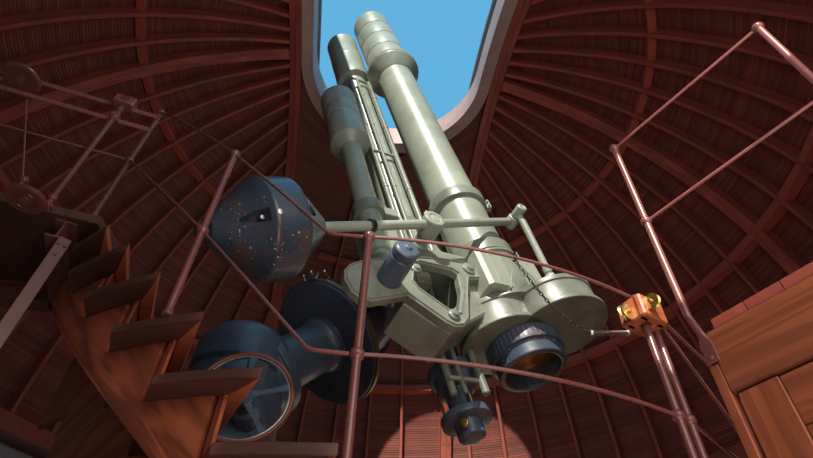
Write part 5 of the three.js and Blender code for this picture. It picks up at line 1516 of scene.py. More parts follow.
def build_lever():
    """The relief lever: a round bar with a boss on its pivot, a clamp ring, and the link at its end."""
    length = np.linalg.norm(LEVER_RIGHT - LEVER_LEFT)
    along = place_along(LEVER_LEFT, LEVER_ALONG)
    bar = rounded([[0, 0], [0.0255, 0], [0.0255, 0.09], [0.0255, length - 0.02], [0.022, length], [0, length]], 0.003)
    skins = [turned(bar, 40, along)]
    boss = MAIN.out([-0.35, LEVER_Y, -0.48])
    pivot = place_along(boss, TOWARD_VIEW)
    skins.append(lathe([[0, -0.1545], [0.05, -0.1545], [0.05, -0.14], [0.0395, -0.13], [0.0395, -0.07],
                        [0.0615, -0.066], [0.0615, 0.036], [0.056, 0.0445], [0.036, 0.0445], [0.034, 0.04],
                        [0, 0.04]], 0.003, 56, pivot))
    skins.append(heads(pivot.out([[0, 0, 0.04]]), TOWARD_VIEW[None], 0.026, 0.004))
    end = place_along(LEVER_RIGHT, TOWARD_VIEW)
    skins.append(lathe([[0, -0.0395], [0.034, -0.0395], [0.0415, -0.032], [0.0415, 0.032], [0.034, 0.0395],
                        [0, 0.0395]], 0.003, 44, end))
    put("relief_lever_turned", skins, "tube", "telescope", ["relief_lever"])
    ring = ring_profile(0.0257, 0.0345, 0.285, 0.312, 0.002)
    clamp = [turned(ring, 40, along)]
    ear = along.out([[0.03, 0, 0.2985], [0.066, 0, 0.2985]])
    clamp.append(rod(*ear, 0.006, 12))
    clamp.append(rod(along.out([0.06, -0.026, 0.2985]), along.out([0.06, 0.026, 0.2985]), 0.004, 10))
    clamp.append(balls(along.out([[0.06, -0.028, 0.2985], [0.06, 0.028, 0.2985]]), 0.008))
    put("lever_clamp_ring", clamp, "dark_steel", "telescope")

    y = LEVER_Y
    top, low = MAIN.out([0.34, y - 0.062, -0.26]), MAIN.out([0.415, y + 0.02, -0.7])
    cap = place_along(MAIN.out([0.33, y - 0.0855 + 0.0002, -0.21]), TOWARD_VIEW)
    skins = [lathe([[0, -0.0447], [0.028, -0.0447], [0.0335, -0.038], [0.0335, 0.034], [0.026, 0.0395],
                    [0.014, 0.0395], [0.012, 0.036], [0, 0.036]], 0.003, 40, cap)]
    z = unit(low - top)
    length = np.linalg.norm(low - top)
    place = place_along(top, z)
    skins.append(lathe([[0, 0], [0.0215, 0.0], [0.0215, length - 0.09], [0.026, length - 0.085],
                        [0.026, length - 0.055], [0.0215, length - 0.05], [0.0215, length], [0, length]],
                       0.002, 32, place))
    skins.append(rod(MAIN.out([0.33, y - 0.062, -0.21]), top, 0.0195, 20))
    lug_top, lug_low = MAIN.out([0.415, y + 0.02, -0.66]), MAIN.out([0.415, y + 0.02, -0.8297])
    skins.append(rod(lug_top, lug_low, 0.0295, 28))
    skins.append(lathe([[0, -0.01], [0.04, -0.01], [0.04, 0.0], [0, 0.0]], 0.002, 32,
               place_along(lug_low, -MAIN.basis[2]).shifted((0, 0, -0.0003))))
    put("relief_link_turned", skins, "tube", "telescope", ["relief_link"])


def build_counterweight():
    """The heavy weight on the lever: a flat-faced cone, a band and a long cone to the bar, all one turned profile,
    with half-oval pockets let into its side that show a bolt inside."""
    axis = place_along(LEVER_LEFT, -LEVER_ALONG, TOWARD_VIEW)
    profile = np.array([[0, 0.0006], [0.05, 0.0006], [0.055, 0.004], [0.195, 0.166], [0.196, 0.174], [0.217, 0.186],
                        [0.2195, 0.194], [0.2205, 0.325], [0.219, 0.333], [0.212, 0.342], [0.064, 0.512],
                        [0.058, 0.5195], [0.03, 0.5205], [0.03, 0.555], [0.026, 0.5595], [0, 0.5595]])
    segments = 300
    pockets = [(radians(a + 120 * k), flat, point, half) for k in range(3)
               for a, flat, point, half in ((60, 0.352, 0.44, 0.027), (66, 0.163, 0.112, 0.024))]
    fine = []
    for a, b in zip(profile[:-1], profile[1:]):
        steps = max(2, int(np.linalg.norm(b - a) / 0.004))
        fine += [a + (b - a) * k / steps for k in range(steps)]
    fine = np.array(fine + [profile[-1]])
    t = np.linspace(0, 2 * pi, segments, endpoint=False)[:, None]
    r, z = fine[None, :, 0], fine[None, :, 1]
    depth = 0.0
    for middle, flat, point, half in pockets:
        off = np.angle(np.exp(1j * (t - middle))) * r
        along = (z - flat) / (point - flat)
        reach = half * np.sqrt(np.clip(1 - np.clip(along, 0, 1) ** 1.6, 0, 1))
        inside = np.clip((reach - np.abs(off)) / 0.006, 0, 1) * np.clip(along * 12, 0, 1) * (along < 1)
        depth = depth + 0.055 * inside
    radius = r - np.minimum(depth, 0.6 * r)
    points = np.stack([radius * np.cos(t), radius * np.sin(t), np.broadcast_to(z, radius.shape)], -1)
    skin = sheet_grid(points, None, 0.5, close_rows=True).placed(axis)
    put("main_counterweight_cast", skin, "iron", "telescope", ["main_counterweight"], 28)
    bolts = []
    for middle, flat, point, half in pockets:
        r = (0.145 if flat > 0.3 else 0.135)
        z = flat + 0.14 * (point - flat)
        at = axis.out([r * cos(middle), r * sin(middle), z])
        away = unit(at - axis.out([0, 0, z]))
        bolts.append(heads(at[None], away[None], 0.011, 0.016))
    plug = axis.out([0.2195 * cos(1.05), 0.2195 * sin(1.05), 0.318])
    bolts.append(heads(plug[None], unit(plug - axis.out([0, 0, 0.318]))[None], 0.012, 0.003, 20))
    put("counterweight_bolts", bolts, "steel", "telescope")


def build_polar():
    """Hour circle with its graduated brass edge, its dial, clamps and lever, and the declination head with its
    flanges and bolts."""
    disc = rounded([[0, -0.6395], [0.188, -0.6395], [0.188, -0.6195], [0.409, -0.6195], [0.4195, -0.614],
                    [0.4195, -0.6], [0.4315, -0.5995], [0.4315, -0.5705], [0.4195, -0.57], [0.4195, -0.556],
                    [0.412, -0.5505], [0.3, -0.5505], [0.296, -0.556], [0.15, -0.556], [0, -0.556]], 0.003)
    skins = [turned(disc, 180, POLAR), screws(POLAR, 0.35, -0.5505, 12, 0.01, 0.0, start=0.1)]
    for turn in (0.4, 2.5, 4.6):
        spot = ring_of(POLAR, 0.385, -0.5505, 1, turn)
        skins.append(lathe([[0, 0], [0.016, 0], [0.016, 0.01], [0.009, 0.014], [0.009, 0.024], [0, 0.025]],
                           0.002, 24, Place(spot[0], *POLAR.basis)))
    put("hour_circle_turned", skins, "iron", "polar_axis", ["hour_circle"])
    edge = [turned(ring_profile(0.4312, 0.4335, -0.5975, -0.5725, 0.0005, 2), 180, POLAR)]
    put("hour_circle_brass_edge", edge, "brass", "polar_axis")
    count = 240
    t = np.linspace(0, 2 * pi, count, endpoint=False)
    away = np.stack([np.cos(t), np.sin(t), 0 * t], -1) @ POLAR.basis
    along = np.broadcast_to(POLAR.basis[2], away.shape)
    tall = np.where(np.arange(count) % 10 == 0, 0.0105, np.where(np.arange(count) % 5 == 0, 0.0075, 0.0045))
    at = POLAR.out(np.stack([0.4337 * np.cos(t), 0.4337 * np.sin(t), np.full(count, -0.596) + tall], -1))
    bases = np.stack([np.cross(away, along), away, along], 1)
    halves = np.stack([np.full(count, 0.0007), np.full(count, 0.0004), tall], -1)
    put("hour_circle_marks", bricks(at, halves, bases), "dark_steel", "polar_axis")

    def at_rim(radius, degrees, level):
        """A point (r cos t, r sin t, level) about the polar axis."""
        turn = radians(degrees)
        return POLAR.out([radius * cos(turn), radius * sin(turn), level])

    base, top = at_rim(0.428, -131, -0.585), at_rim(0.455, -131, -0.6)
    dial = rounded([[0, 0], [0.03, 0], [0.03, 0.009], [0.022, 0.012], [0, 0.012]], 0.002)
    skins = [rod(base, top, 0.01, 20), turned(dial, 40, place_along(top, unit(top - base)))]
    for turn, reach, level, size in ((-135.5, 0.48, -0.592, 0.0125), (-144.0, 0.462, -0.6, 0.011)):
        skins += [rod(at_rim(0.428, turn, level), at_rim(reach, turn, level), 0.005, 14),
                  balls(at_rim(reach, turn, level)[None], size)]
    lever = np.array([at_rim(*p) for p in ((0.473, -127, -0.542), (0.43, -126.6, -0.508), (0.36, -125.5, -0.462),
                                           (0.29, -124, -0.42), (0.214, -123, -0.389))])
    skins += [pipe(lever, 0.0062, 14), balls(lever[:1], 0.0135),
              rod(at_rim(0.405, -126.4, -0.555), at_rim(0.42, -126.5, -0.505), 0.006, 14)]
    put("hour_circle_fittings", skins, "steel", "polar_axis")

    trunk = rounded([[0, -0.5495], [0.258, -0.5495], [0.2595, -0.545], [0.2595, -0.515], [0.245, -0.505],
                     [0.232, -0.45], [0.19, -0.2], [0.17, -0.122], [0, -0.1205]], 0.006)
    skins = [turned(trunk, 96, POLAR), screws(POLAR, 0.248, -0.5145, 14, 0.011, 0.006)]
    cross = Place(CENTRE, POLAR.basis[0], POLAR.basis[2], -POLAR.basis[1])
    sleeve = rounded([[0, -0.3895], [0.15, -0.3895], [0.185, -0.382], [0.1995, -0.368], [0.1995, -0.262],
                      [0.188, -0.252], [0.1645, -0.246], [0.1645, 0.455], [0.185, 0.475], [0.225, 0.48],
                      [0.2345, 0.486], [0.2345, 0.5195], [0, 0.5195]], 0.005)
    skins.append(turned(sleeve, 112, cross))
    skins.append(screws(cross, 0.217, 0.4815, 12, 0.012, 0.0, up=-1))
    skins.append(screws(cross, 0.12, -0.3895, 8, 0.011, 0.0, up=-1))
    put("declination_head_turned", skins, "mount", "polar_axis", ["declination_head"])


def build_pier():
    """The cast column with its dome, the housing of the polar axis under it with bolted flanges, an oblong cover with
    its knob, and the bearing of the handwheel's shaft."""
    column = [[0, 0.0], [0.398, 0.0], [0.3995, 0.006], [0.3995, 0.085], [0.385, 0.1], [0.385, 0.48],
              [0.378, 0.5], [0.33, 0.59], [0.285, 0.665], [0.2695, 0.7], [0.2695, 1.62], [0.2695, 2.3],
              [0.2695, 3.14]]
    t = np.linspace(0, pi / 2, 14)[1:]
    column += [[0.2695 * cos(a), 3.14 + 0.1995 * sin(a)] for a in t]
    column[-1][0] = 0
    spot = WORLD.shifted((*PIER_PLAN, 0))
    skins = [turned(rounded(column, 0.01, 2), 112, spot)]
    for z in (0.72, 1.6, 2.98):
        skins.append(turned(band(0.2695, z, 0.045, 0.0), 112, spot))
    housing = rounded([[0, -1.3195], [0.225, -1.3195], [0.2395, -1.308], [0.2395, -1.13], [0.2555, -1.129],
                       [0.2555, -1.0705], [0.205, -1.0695], [0.176, -1.055], [0.1645, -1.03], [0.1645, -0.69],
                       [0.176, -0.678], [0.184, -0.66], [0.184, -0.6405], [0, -0.6405]], 0.005)
    skins.append(turned(housing, 112, POLAR))
    skins.append(screws(POLAR, 0.243, -1.0705, 14, 0.01, 0.006))
    skins.append(screws(POLAR, 0.205, -1.3195, 8, 0.012, 0.0, up=-1))
    socket = place_along((-0.665, -0.5, 2.68), (0, -1, 0))
    bearing = rounded([[0, 0.0], [0.095, 0.0], [0.095, 0.125], [0.0695, 0.14], [0.0695, 0.262], [0.062, 0.2695],
                       [0.0445, 0.2695], [0.0445, 0.2995], [0, 0.2995]], 0.004)
    skins.append(turned(bearing, 56, socket))
    skins.append(screws(socket, 0.083, 0.125, 6, 0.007, 0.004))
    put("pier_casting", skins, "mount", "building", ["pier_with_polar_housing"])
    toward = unit(np.array([0.55, -1.0, 0]))
    face = Place(np.array([*PIER_PLAN, 2.9]) + toward * 0.262, np.cross((0, 0, 1), toward), (0, 0, 1), toward)
    t = np.linspace(0, 2 * pi, 40, endpoint=False)
    outline = np.stack([0.055 * np.cos(t), 0.055 * np.sin(t) + 0.065 * np.sign(np.sin(t))], -1)
    cover = [plate(outline, -0.004, 0.02, face, 0.003),
             lathe([[0, 0.018], [0.012, 0.018], [0.012, 0.03], [0.022, 0.034], [0.022, 0.044], [0, 0.046]],
                   0.002, 28, face.shifted((0, 0.03, 0)))]
    put("pier_oblong_cover", cover, "dark_steel", "building")


def build_handwheel():
    """A turned wooden rim on a bright inner ring, with five flat spokes and a hub with a nut."""
    spot = place_along((-0.665, -0.86, 2.68), (0, -1, 0))
    t = np.linspace(0, 2 * pi, 25)
    rim = np.stack([0.221 + 0.0118 * np.cos(t), 0.0143 * np.sin(t)], -1)
    put("handwheel_rim", turned(rim, 120, spot), "planks", "handwheel", ["handwheel"])
    inner = ring_profile(0.2035, 0.212, -0.008, 0.008, 0.002)
    put("handwheel_inner_ring", turned(inner, 120, spot), "steel", "handwheel")
    skins = []
    for k in range(5):
        a = radians(90 + 72 * k)
        away = np.array([cos(a), 0, sin(a)])
        side = np.cross(away, (0, -1, 0))
        share = np.linspace(0, 1, 8)
        path = spot.origin + away * (0.03 + 0.176 * share)[:, None]
        width = 1.0 + 0.5 * np.abs(1 - 2 * share) ** 2
        skins.append(swept(path, section_rect(0.026, 0.012, 0.003), side, scale=width))
    skins.append(lathe([[0, -0.0395], [0.034, -0.0395], [0.0415, -0.03], [0.0415, 0.012], [0.03, 0.02],
                        [0.03, 0.026], [0, 0.026]], 0.003, 48, spot))
    put("handwheel_spokes", skins, "mount", "handwheel")
    nut = [heads(spot.out([[0, 0, 0.026]]), spot.basis[2][None], 0.017, 0.0135)]
    put("handwheel_nut", nut, "steel", "handwheel")


# Stair, stages and railings. Angles are in degrees from -Y toward +X

STAIR_OUT = 1.9995
STRINGER_OUT = 1.9195
NOSING = 0.045
RAIL_RHO = 2.0
TOP_RAIL = 2.678
MID_RAIL = 2.232
STAIR_POST = -22.5
STAGE_POST = -44.8
STAGE_TOP = 3.17
STAIR_FOOT = 1.8005
TREAD_REACH = 0.619


def nose_way(k):
    """The way of nose line k from the stair's outer edge inward."""
    a = radians(-24.6 + 3.3 * k)
    return np.array([sin(a), cos(a)])


def nose_point(k, inward, back):
    """A plan point by nose line k: `inward` along it from its outer end and `back` behind it."""
    x, y = nose_way(k)
    return plan(STAIR_OUT, -6.2 - 6.36 * k, 0.0)[:2] + [inward * x - back * y, inward * y + back * x]


def nose_at(k, back, rho):
    """Where the line `back` behind nose line k meets the circle of radius rho, from p + t w with |p + t w| = rho."""
    p = nose_point(k, 0, back)
    b = p @ nose_way(k)
    return nose_point(k, -b - sqrt(b * b - p @ p + rho * rho), back)


def arc_between(p, q, count):
    """Plan points from p to q on the circle about the axis through p."""
    return arc(hypot(*p), plan_angle(p), plan_angle(q), count)


def tread_top(k):
    """Rises of 0.2 m from the observing floor at 1.8 m, less 10 mm."""
    return 1.8 + 0.2 * (k + 1) - 0.01


def build_stair():
    """Each tread has a core, a dark curved end board that overhangs the outer board, and a nosing batten mitred to
    it; riser boards stand under the nosings. The outer board's lower edge slopes and its top follows the treads."""
    rng = np.random.default_rng(31)
    nosings, risers = [], []
    for k in range(6):
        top, back = tread_top(k), 0.0645 if k < 5 else 0.0095
        b, a = nose_at(k, 0.0005, STAIR_OUT), nose_at(k + 1, back, STAIR_OUT)
        m, c = nose_at(k, NOSING, STRINGER_OUT), nose_at(k + 1, back, STRINGER_OUT)
        front, behind, inner = (nose_point(k, TREAD_REACH, 0.0005), nose_point(k, TREAD_REACH, NOSING),
                                nose_point(k + 1, TREAD_REACH, back))
        end = np.concatenate([arc_between(b, a, 12), arc_between(c, m, 12)])
        core = np.concatenate([[behind, inner], arc_between(c, m, 12)])
        skins = [plate(end, top - 0.0318, top, bevel=0.003, tint=rng.random() * 0.5),
                 plate(inset(core, 0.0004), top - 0.0312, top - 0.0006, bevel=0.002, tint=rng.random())]
        put(f"tread_board_{k + 1}", skins, "treads", "building", [f"stair_tread_{k + 1}"])
        nosings.append(plate(inset([b, front, behind, m], 0.0003), top - 0.0318, top - 0.0004, bevel=0.004,
                             tint=0.35 + 0.4 * rng.random()))
        low = STAIR_FOOT if k == 0 else top - 0.1995
        riser = [nose_at(k, NOSING, STRINGER_OUT), nose_point(k, 0.61, NOSING), nose_point(k, 0.61, 0.0645),
                 nose_at(k, 0.0645, STRINGER_OUT)]
        board = plate(riser, low, top - 0.0322, bevel=0.0015, tint=rng.random())
        board.uv = board.points[:, [1, 2]] + [k * 3.1, k * 1.7]
        risers.append(board)
        # A thin strip where each riser meets the outer board, in the paler nosing wood at the fixed high tint 0.9: a
        # painted highlight along that corner.
        strip = [nose_at(k, NOSING, STRINGER_OUT), nose_at(k, NOSING, STRINGER_OUT + 0.002),
                 nose_at(k, NOSING + 0.009, STRINGER_OUT + 0.002), nose_at(k, NOSING + 0.009, STRINGER_OUT)]
        nosings.append(plate(strip, low, top - 0.0322, bevel=0.0005, tint=0.9))
    put("stair_nosings", nosings, "nosings", "building")
    put("stair_risers", risers, "risers", "building")
    skins = []
    for k in range(6):
        high = tread_top(k) - 0.0325
        ends = [nose_at(k, 0.0653, 1.9), nose_at(k + 1, 0.0653, 1.9)]
        first, last = (plan_angle(v) for v in ends)
        angle = np.linspace(-51.9 if k == 5 else last, first, 14)
        low = np.maximum(STAIR_FOOT, 2.0 - 0.02794 * (angle + 21.09))
        level = np.full_like(low, high)
        rows = [(1.8835, low), (1.9165, low), (1.9195, low + 0.003), (1.9195, level), (1.8805, level),
                (1.8805, low + 0.003)]
        rings = np.stack([plan(rho, angle, z) for rho, z in rows], 1)
        along = np.broadcast_to((-angle * 0.03351)[:, None], rings.shape[:2])
        uv = np.stack([along * 0.768 + rings[..., 2] * 0.64, rings[..., 2] * 0.768 - along * 0.64], -1)
        # The two points of each row on the board's bottom face get tint 0.95, so the stain is paler there: painted
        # light on the underside of the board.
        skins.append(lofted(rings, uv, np.tile([0.95, 0.95, 0.5, 0.5, 0.5, 0.5], (14, 1))))
    put("outer_stair_board", skins, "stair_board", "building", ["stair_outer_stringer"], 20)
    skins = []
    for k in range(6):
        high, back = tread_top(k) - 0.0325, 0.0652 if k < 5 else 0.001
        outline = [nose_point(k, 0.551, 0.0656), nose_point(k, 0.589, 0.0656), nose_point(k + 1, 0.589, back),
                   nose_point(k + 1, 0.551, back)]
        skins.append(plate(outline, max(STAIR_FOOT, high - 0.379), high, bevel=0.003, tint=0.5))
    put("inner_stair_board", skins, "stair_board", "building", ["stair_inner_stringer"], 20)


def board_run(a, b, wide, tall, top, tint):
    """A board on edge between two plan points, its top at the given height; U runs along it."""
    a, b = np.array([*a, 0.0]), np.array([*b, 0.0])
    along = unit(b - a)
    place = Place(a, along, np.cross((0, 0, 1), along), (0, 0, 1))
    length = np.linalg.norm(b - a)
    return block((0, -wide / 2, top - tall), (length, wide / 2, top), 0.004, place, tint=tint)


def i_beam(a, b, top, wide=0.0875, tall=0.0995):
    """A rolled beam between two plan points: two flanges and a web with small curves between them."""
    half = np.array([[-wide / 2, 0], [-wide / 2, -0.007], [-0.01, -0.0085], [-0.005, -0.013], [-0.004, -0.018]])
    left = np.concatenate([half, (half * [1, -1] - [0, tall])[::-1]])
    section = np.concatenate([left, (left * [-1, 1])[::-1]])
    a, b = np.array([*a, top]), np.array([*b, top])
    side = np.cross(unit(b - a), (0, 0, 1))
    rings = np.stack([end + section[:, :1] * side + section[:, 1:] * [0, 0, 1] for end in (a, b)])
    body = sheet_grid(rings, None, close_columns=True)
    count = len(section)
    fill = np.array(tessellate_polygon([[(*p, 0) for p in section]]))
    fill = np.concatenate([np.concatenate([fill + k, np.full((len(fill), 1), -1)], 1) for k in (0, count)])
    return Skin(body.points, np.concatenate([body.quads, fill]), body.uv, body.tint)


def build_upper_stage():
    """Planks of the stage cut to its four-sided plan, its head joist, and beams, a flat bar and a post below."""
    corners = np.array([[-1.3655, -1.4255], [-2.3295, -1.6095], [-2.3295, -0.6405], [-1.2905, -1.0105]])
    skins = []
    rng = np.random.default_rng(41)
    edges = np.linspace(0, 1, 8)
    for k in range(7):
        a, b = edges[k] + 0.002, edges[k + 1] - 0.002
        front = corners[0] + (corners[1] - corners[0]) * np.array([[a], [b]])
        back = corners[3] + (corners[2] - corners[3]) * np.array([[a], [b]])
        skin = plate(np.array([front[0], front[1], back[1], back[0]]), 3.1255, 3.1697, bevel=0.003, tint=rng.random())
        skin.uv = skin.points[:, [1, 0]] + [[0, k * 0.7]]
        skins.append(skin)
    skins.append(board_run((-1.3448, -1.399), (-1.2902, -1.041), 0.059, 0.111, 3.1255, tint=rng.random()))
    put("upper_stage_planks", skins, "stage_wood", "building", ["upper_stage"])
    under = 3.1243
    skins = [i_beam((-1.5, -1.42), (-1.64, -0.88), under), i_beam((-1.6, -0.905), (-2.28, -0.905), under),
             i_beam((-2.24, -1.53), (-2.24, -0.72), under)]
    way = unit(np.array([0.8255, 0.5644, 0]))
    face = np.cross((0, 0, 1), way)
    bar = Place((-1.462, -1.412, 0), way, face, (0, 0, 1))
    skins.append(block((-0.0248, -0.0078, 1.8008), (0.0248, 0.0078, 3.026), 0.002, bar, grain=2))
    skins.append(block((-0.04, -0.03, 1.8004), (0.04, 0.03, 1.809), 0.002, bar))
    at = bar.out([[-0.012, -0.0078, 2.985], [0.012, -0.0078, 2.985], [0.0, -0.0078, 2.93]])
    skins.append(heads(at, np.tile(-face, (3, 1)), 0.007, 0.006))
    x, low = -2.24, 0.2005
    skins.append(block((x - 0.0495, -1.3295, low + 0.012), (x + 0.0495, -1.2305, under - 0.112), 0.006))
    skins.append(block((x - 0.0498, -1.3298, low), (x + 0.0498, -1.2302, low + 0.012), 0.002))
    skins.append(block((x - 0.0498, -1.3298, under - 0.112), (x + 0.0498, -1.2302, under - 0.1), 0.002))
    at = [(x + i * 0.036, -1.28 + j * 0.036, low + 0.012) for i in (-1, 1) for j in (-1, 1)]
    skins.append(heads(np.array(at), np.tile([0, 0, 1.0], (4, 1)), 0.008, 0.006))
    put("stage_steel_beams", skins, "steelwork", "building", ["stage_steel_frame"])


def build_side_stage():
    """Boards of the side stage, its two beams, and under each a wide upright board with level boards behind it."""
    rng = np.random.default_rng(51)
    skins = []
    edges = np.linspace(2.191, 3.929, 16)
    for k in range(15):
        skin = sector_slab(edges[k] + 0.0015, edges[k + 1] - 0.0015, 24.45, 65.95, 2.4505, 2.4895, 14, 0.003,
                           rng.random())
        angle = np.arctan2(skin.points[:, 0], -skin.points[:, 1])
        skin.uv = np.stack([angle * edges[k], np.hypot(skin.points[:, 0], skin.points[:, 1])], -1)
        skins.append(skin)
    put("side_stage_boards", skins, "ribs", "building", ["side_stage_floor"])
    for name, degrees, node in (("side_stage_near", 24.8, "side_stage_wall"),
                                ("side_stage_far", 65, "side_stage_far_wall")):
        away, side = radial(degrees)
        place = Place((0, 0, 0), away, side, (0, 0, 1))
        beam = block((2.1605, -0.0223, 2.2455), (3.9295, 0.0223, 2.4497), 0.004, place, tint=0.45)
        put(f"{name}_beam", beam, "side_wood", "building", [node])
        foot, head = 0.2005, 2.2395
        skins = [block((2.174, -0.0148, foot), (2.292, 0.0148, head), 0.003, place, grain=2, tint=0.75),
                 block((2.128, -0.02, foot), (2.159, 0.02, 2.345), 0.003, place, grain=2, tint=0.9)]
        for rho in (2.95, 3.8):
            skins.append(block((rho, -0.0148, foot), (rho + 0.118, 0.0148, head), 0.003, place, grain=2,
                               tint=rng.random()))
        for z in np.arange(foot, 2.2, 0.146):
            skins.append(block((2.2925, -0.007, z), (3.929, 0.011, min(z + 0.1445, head)), 0.003, place,
                               tint=0.2 + 0.5 * rng.random()))
        put(f"{name}_boarding", skins, "side_wood", "building")
        at = np.array([[rho, -0.0223, z] for rho in (2.9, 3.6) for z in (2.29, 2.41)])
        skin = heads(place.out(at), np.tile(-side, (len(at), 1)), 0.01, 0.0)
        put(f"{name}_bolts", skin, "dark_steel", "building")


def smooth_path(points, cut=0.03, steps=5):
    """A broken line with each corner rounded by a small curve between points a cut away from it."""
    points = np.asarray(points, float)
    out = [points[0]]
    for a, b, c in zip(points[:-2], points[1:-1], points[2:]):
        d = min(cut, 0.4 * np.linalg.norm(a - b), 0.4 * np.linalg.norm(c - b))
        p, q = b + unit(a - b) * d, b + unit(c - b) * d
        out += [(1 - s) ** 2 * p + 2 * s * (1 - s) * b + s * s * q for s in np.linspace(0, 1, steps)]
    out.append(points[-1])
    return np.array(out)


def pipe(points, radius, sides=14):
    """A round bar along a line of points."""
    points = np.asarray(points, float)
    along = unit(points[-1] - points[0])
    hint = np.cross(along, (0, 0, 1)) if abs(along[2]) < 0.95 else np.array([1.0, 0, 0])
    return swept(points, section_round(radius, sides), hint)


def knot(at, radius=0.0205):
    """A ball fitting, a little flattened, which the bars enter."""
    return [balls(at, radius, 28, 15)]


def post(at, top, radius, foot=0.027, foot_height=0.012):
    """A post with a rounded foot plate, from its foot to the height of its top."""
    at = np.asarray(at, float)
    place = Place(at, (1, 0, 0), (0, 1, 0), (0, 0, 1))
    length = top - at[2]
    return lathe([[0, 0.0003], [foot, 0.0003], [foot, foot_height], [radius + 0.003, foot_height + 0.006],
                  [radius, foot_height + 0.02], [radius, length], [0, length]], 0.002, 24, place)


def flattened_foot(x, y, way, across, off, length=26):
    """The lower end of a post, bent toward the beam and pressed flat: ring i is a |cos t|^p along the beam and
    b |sin t|^p across it, and goes from round (a = b, p = 1) to a flat bar."""
    z = np.linspace(2.56, 2.347, length)
    ease = lambda high, low: (lambda u: u * u * (3 - 2 * u))(np.clip((high - z) / (high - low), 0, 1))
    start = np.array([x, y, 0.0])
    shift = off - start @ across
    bend, press = ease(2.51, 2.43), ease(2.455, 2.405)
    a, b = 0.0125 + 0.008 * press, 0.0125 - 0.0087 * press
    power = 1 - 0.65 * press
    t = np.linspace(0, 2 * pi, 24, endpoint=False)[None]
    curve = lambda f: np.sign(f) * np.abs(f) ** power[:, None]
    points = (start + (shift * bend)[:, None] * across)[:, None] + z[:, None, None] * [0, 0, 1]
    points = points + (a[:, None] * curve(np.cos(t)))[..., None] * way
    return lofted(points + (b[:, None] * curve(np.sin(t)))[..., None] * across)


def build_railings():
    """Posts with round feet, ball fittings and thin bars: on the floor, along the stair, on the two stages."""
    thin, thick = sizes().rail_radius, sizes().post_radius
    p3, p4, p4_next, panel_end = -5.6, 23.3, 24.8, 50.0
    skins = []
    for h in (TOP_RAIL, MID_RAIL):
        skins.append(pipe(plan(RAIL_RHO, np.linspace(p3, p4, 25), h), thin))
        skins.append(pipe(plan(RAIL_RHO, np.array([p4_next, panel_end]), h), thin))
        skins += knot(plan(RAIL_RHO, np.array([p3, p4, p4_next, panel_end]), h))
    skins.append(rod(plan(RAIL_RHO, p4_next, TOP_RAIL), plan(RAIL_RHO, panel_end, MID_RAIL), thin))
    for degrees in (p3, p4, p4_next, panel_end):
        skins.append(post(plan(RAIL_RHO, degrees, 1.8), TOP_RAIL, thick, 0.0265))
    put("floor_railing_pipes", skins, "rail", "building", ["floor_railing"])

    skins = []
    drop = TOP_RAIL - MID_RAIL
    for below in (0, drop):
        level, top_b, top_a = TOP_RAIL - below, 3.2 - below, 4.037 - below
        corner = [(-6.22, level), (-9.4, level + 0.01), (-16.0, (level + 0.01 + top_b) / 2), (STAIR_POST, top_b)]
        corner = np.array([plan(RAIL_RHO, a, z) for a, z in corner])
        share = np.linspace(0, 1, 14)
        upper = plan(RAIL_RHO, -22.5 - 22.3 * share, top_b + (top_a - top_b) * share)
        skins.append(pipe(np.concatenate([smooth_path(corner, 0.022), upper[1:]]), thin))
        skins += knot(upper[[0, -1]])
    skins.append(post(plan(RAIL_RHO, STAIR_POST, 2.39), 3.2, thick, 0.0168, 0.006))
    skins.append(post(plan(RAIL_RHO, STAGE_POST, STAGE_TOP), 4.037, thick, 0.0168, 0.006))
    put("stair_railing_pipes", skins, "rail", "building", ["stair_railing"])

    end = np.array([-2.16, -1.57, 0])
    start = plan(RAIL_RHO, STAGE_POST, 0.0)
    run = np.linalg.norm(end - start)
    stage = Place(start, (end - start) / run, np.array([-(end - start)[1], (end - start)[0], 0]) / run, (0, 0, 1))
    spot = lambda along, out, h: stage.out([along, out, h])
    skins = [post(spot(run, 0, STAGE_TOP), 4.012, thick, 0.0168, 0.006),
             post(spot(0.335, 0, STAGE_TOP), 3.28, thick - 0.003, 0.0138, 0.006)]
    skins.append(pipe([spot(0.021, 0, 3.591), spot(run / 2, 0, 3.591), spot(run, 0, 3.591)], thin))
    skins.append(pipe([spot(0.335, 0, 3.27), spot(0.46, 0, 3.545), spot(0.585, 0, 3.82)], 0.0045))
    skins += knot(np.array([spot(run, 0, 4.012), spot(run, 0, 3.591), spot(0.335, 0, 3.28)]))
    put("upper_stage_railing_pipes", skins, "rail", "building", ["upper_stage_railing"])
    build_turning_gear(stage, spot, run)

    skins = []
    way, across = radial(p4_next)
    spots = np.array([[0.845, -1.982, 0], [1.145, -2.585, 0]])
    for x, y, _ in spots:
        skins.append(pipe([(x, y, 2.559), (x, y, 3.0), (x, y, 3.425)], thick, 18))
        skins.append(flattened_foot(x, y, way, across, -0.027))
        at = (np.array([x, y, 0]) @ way) * way - 0.0308 * across + [0, 0, 2.362]
        skins.append(heads(at[None], -across[None], 0.008, 0.004))
    for z in (3.425, 2.949):
        skins += knot(spots + [0, 0, z])
        skins.append(rod(spots[0] + [0, 0, z], spots[1] + [0, 0, z], thin))
    put("side_stage_railing_pipes", skins, "rail", "building", ["side_stage_railing"])


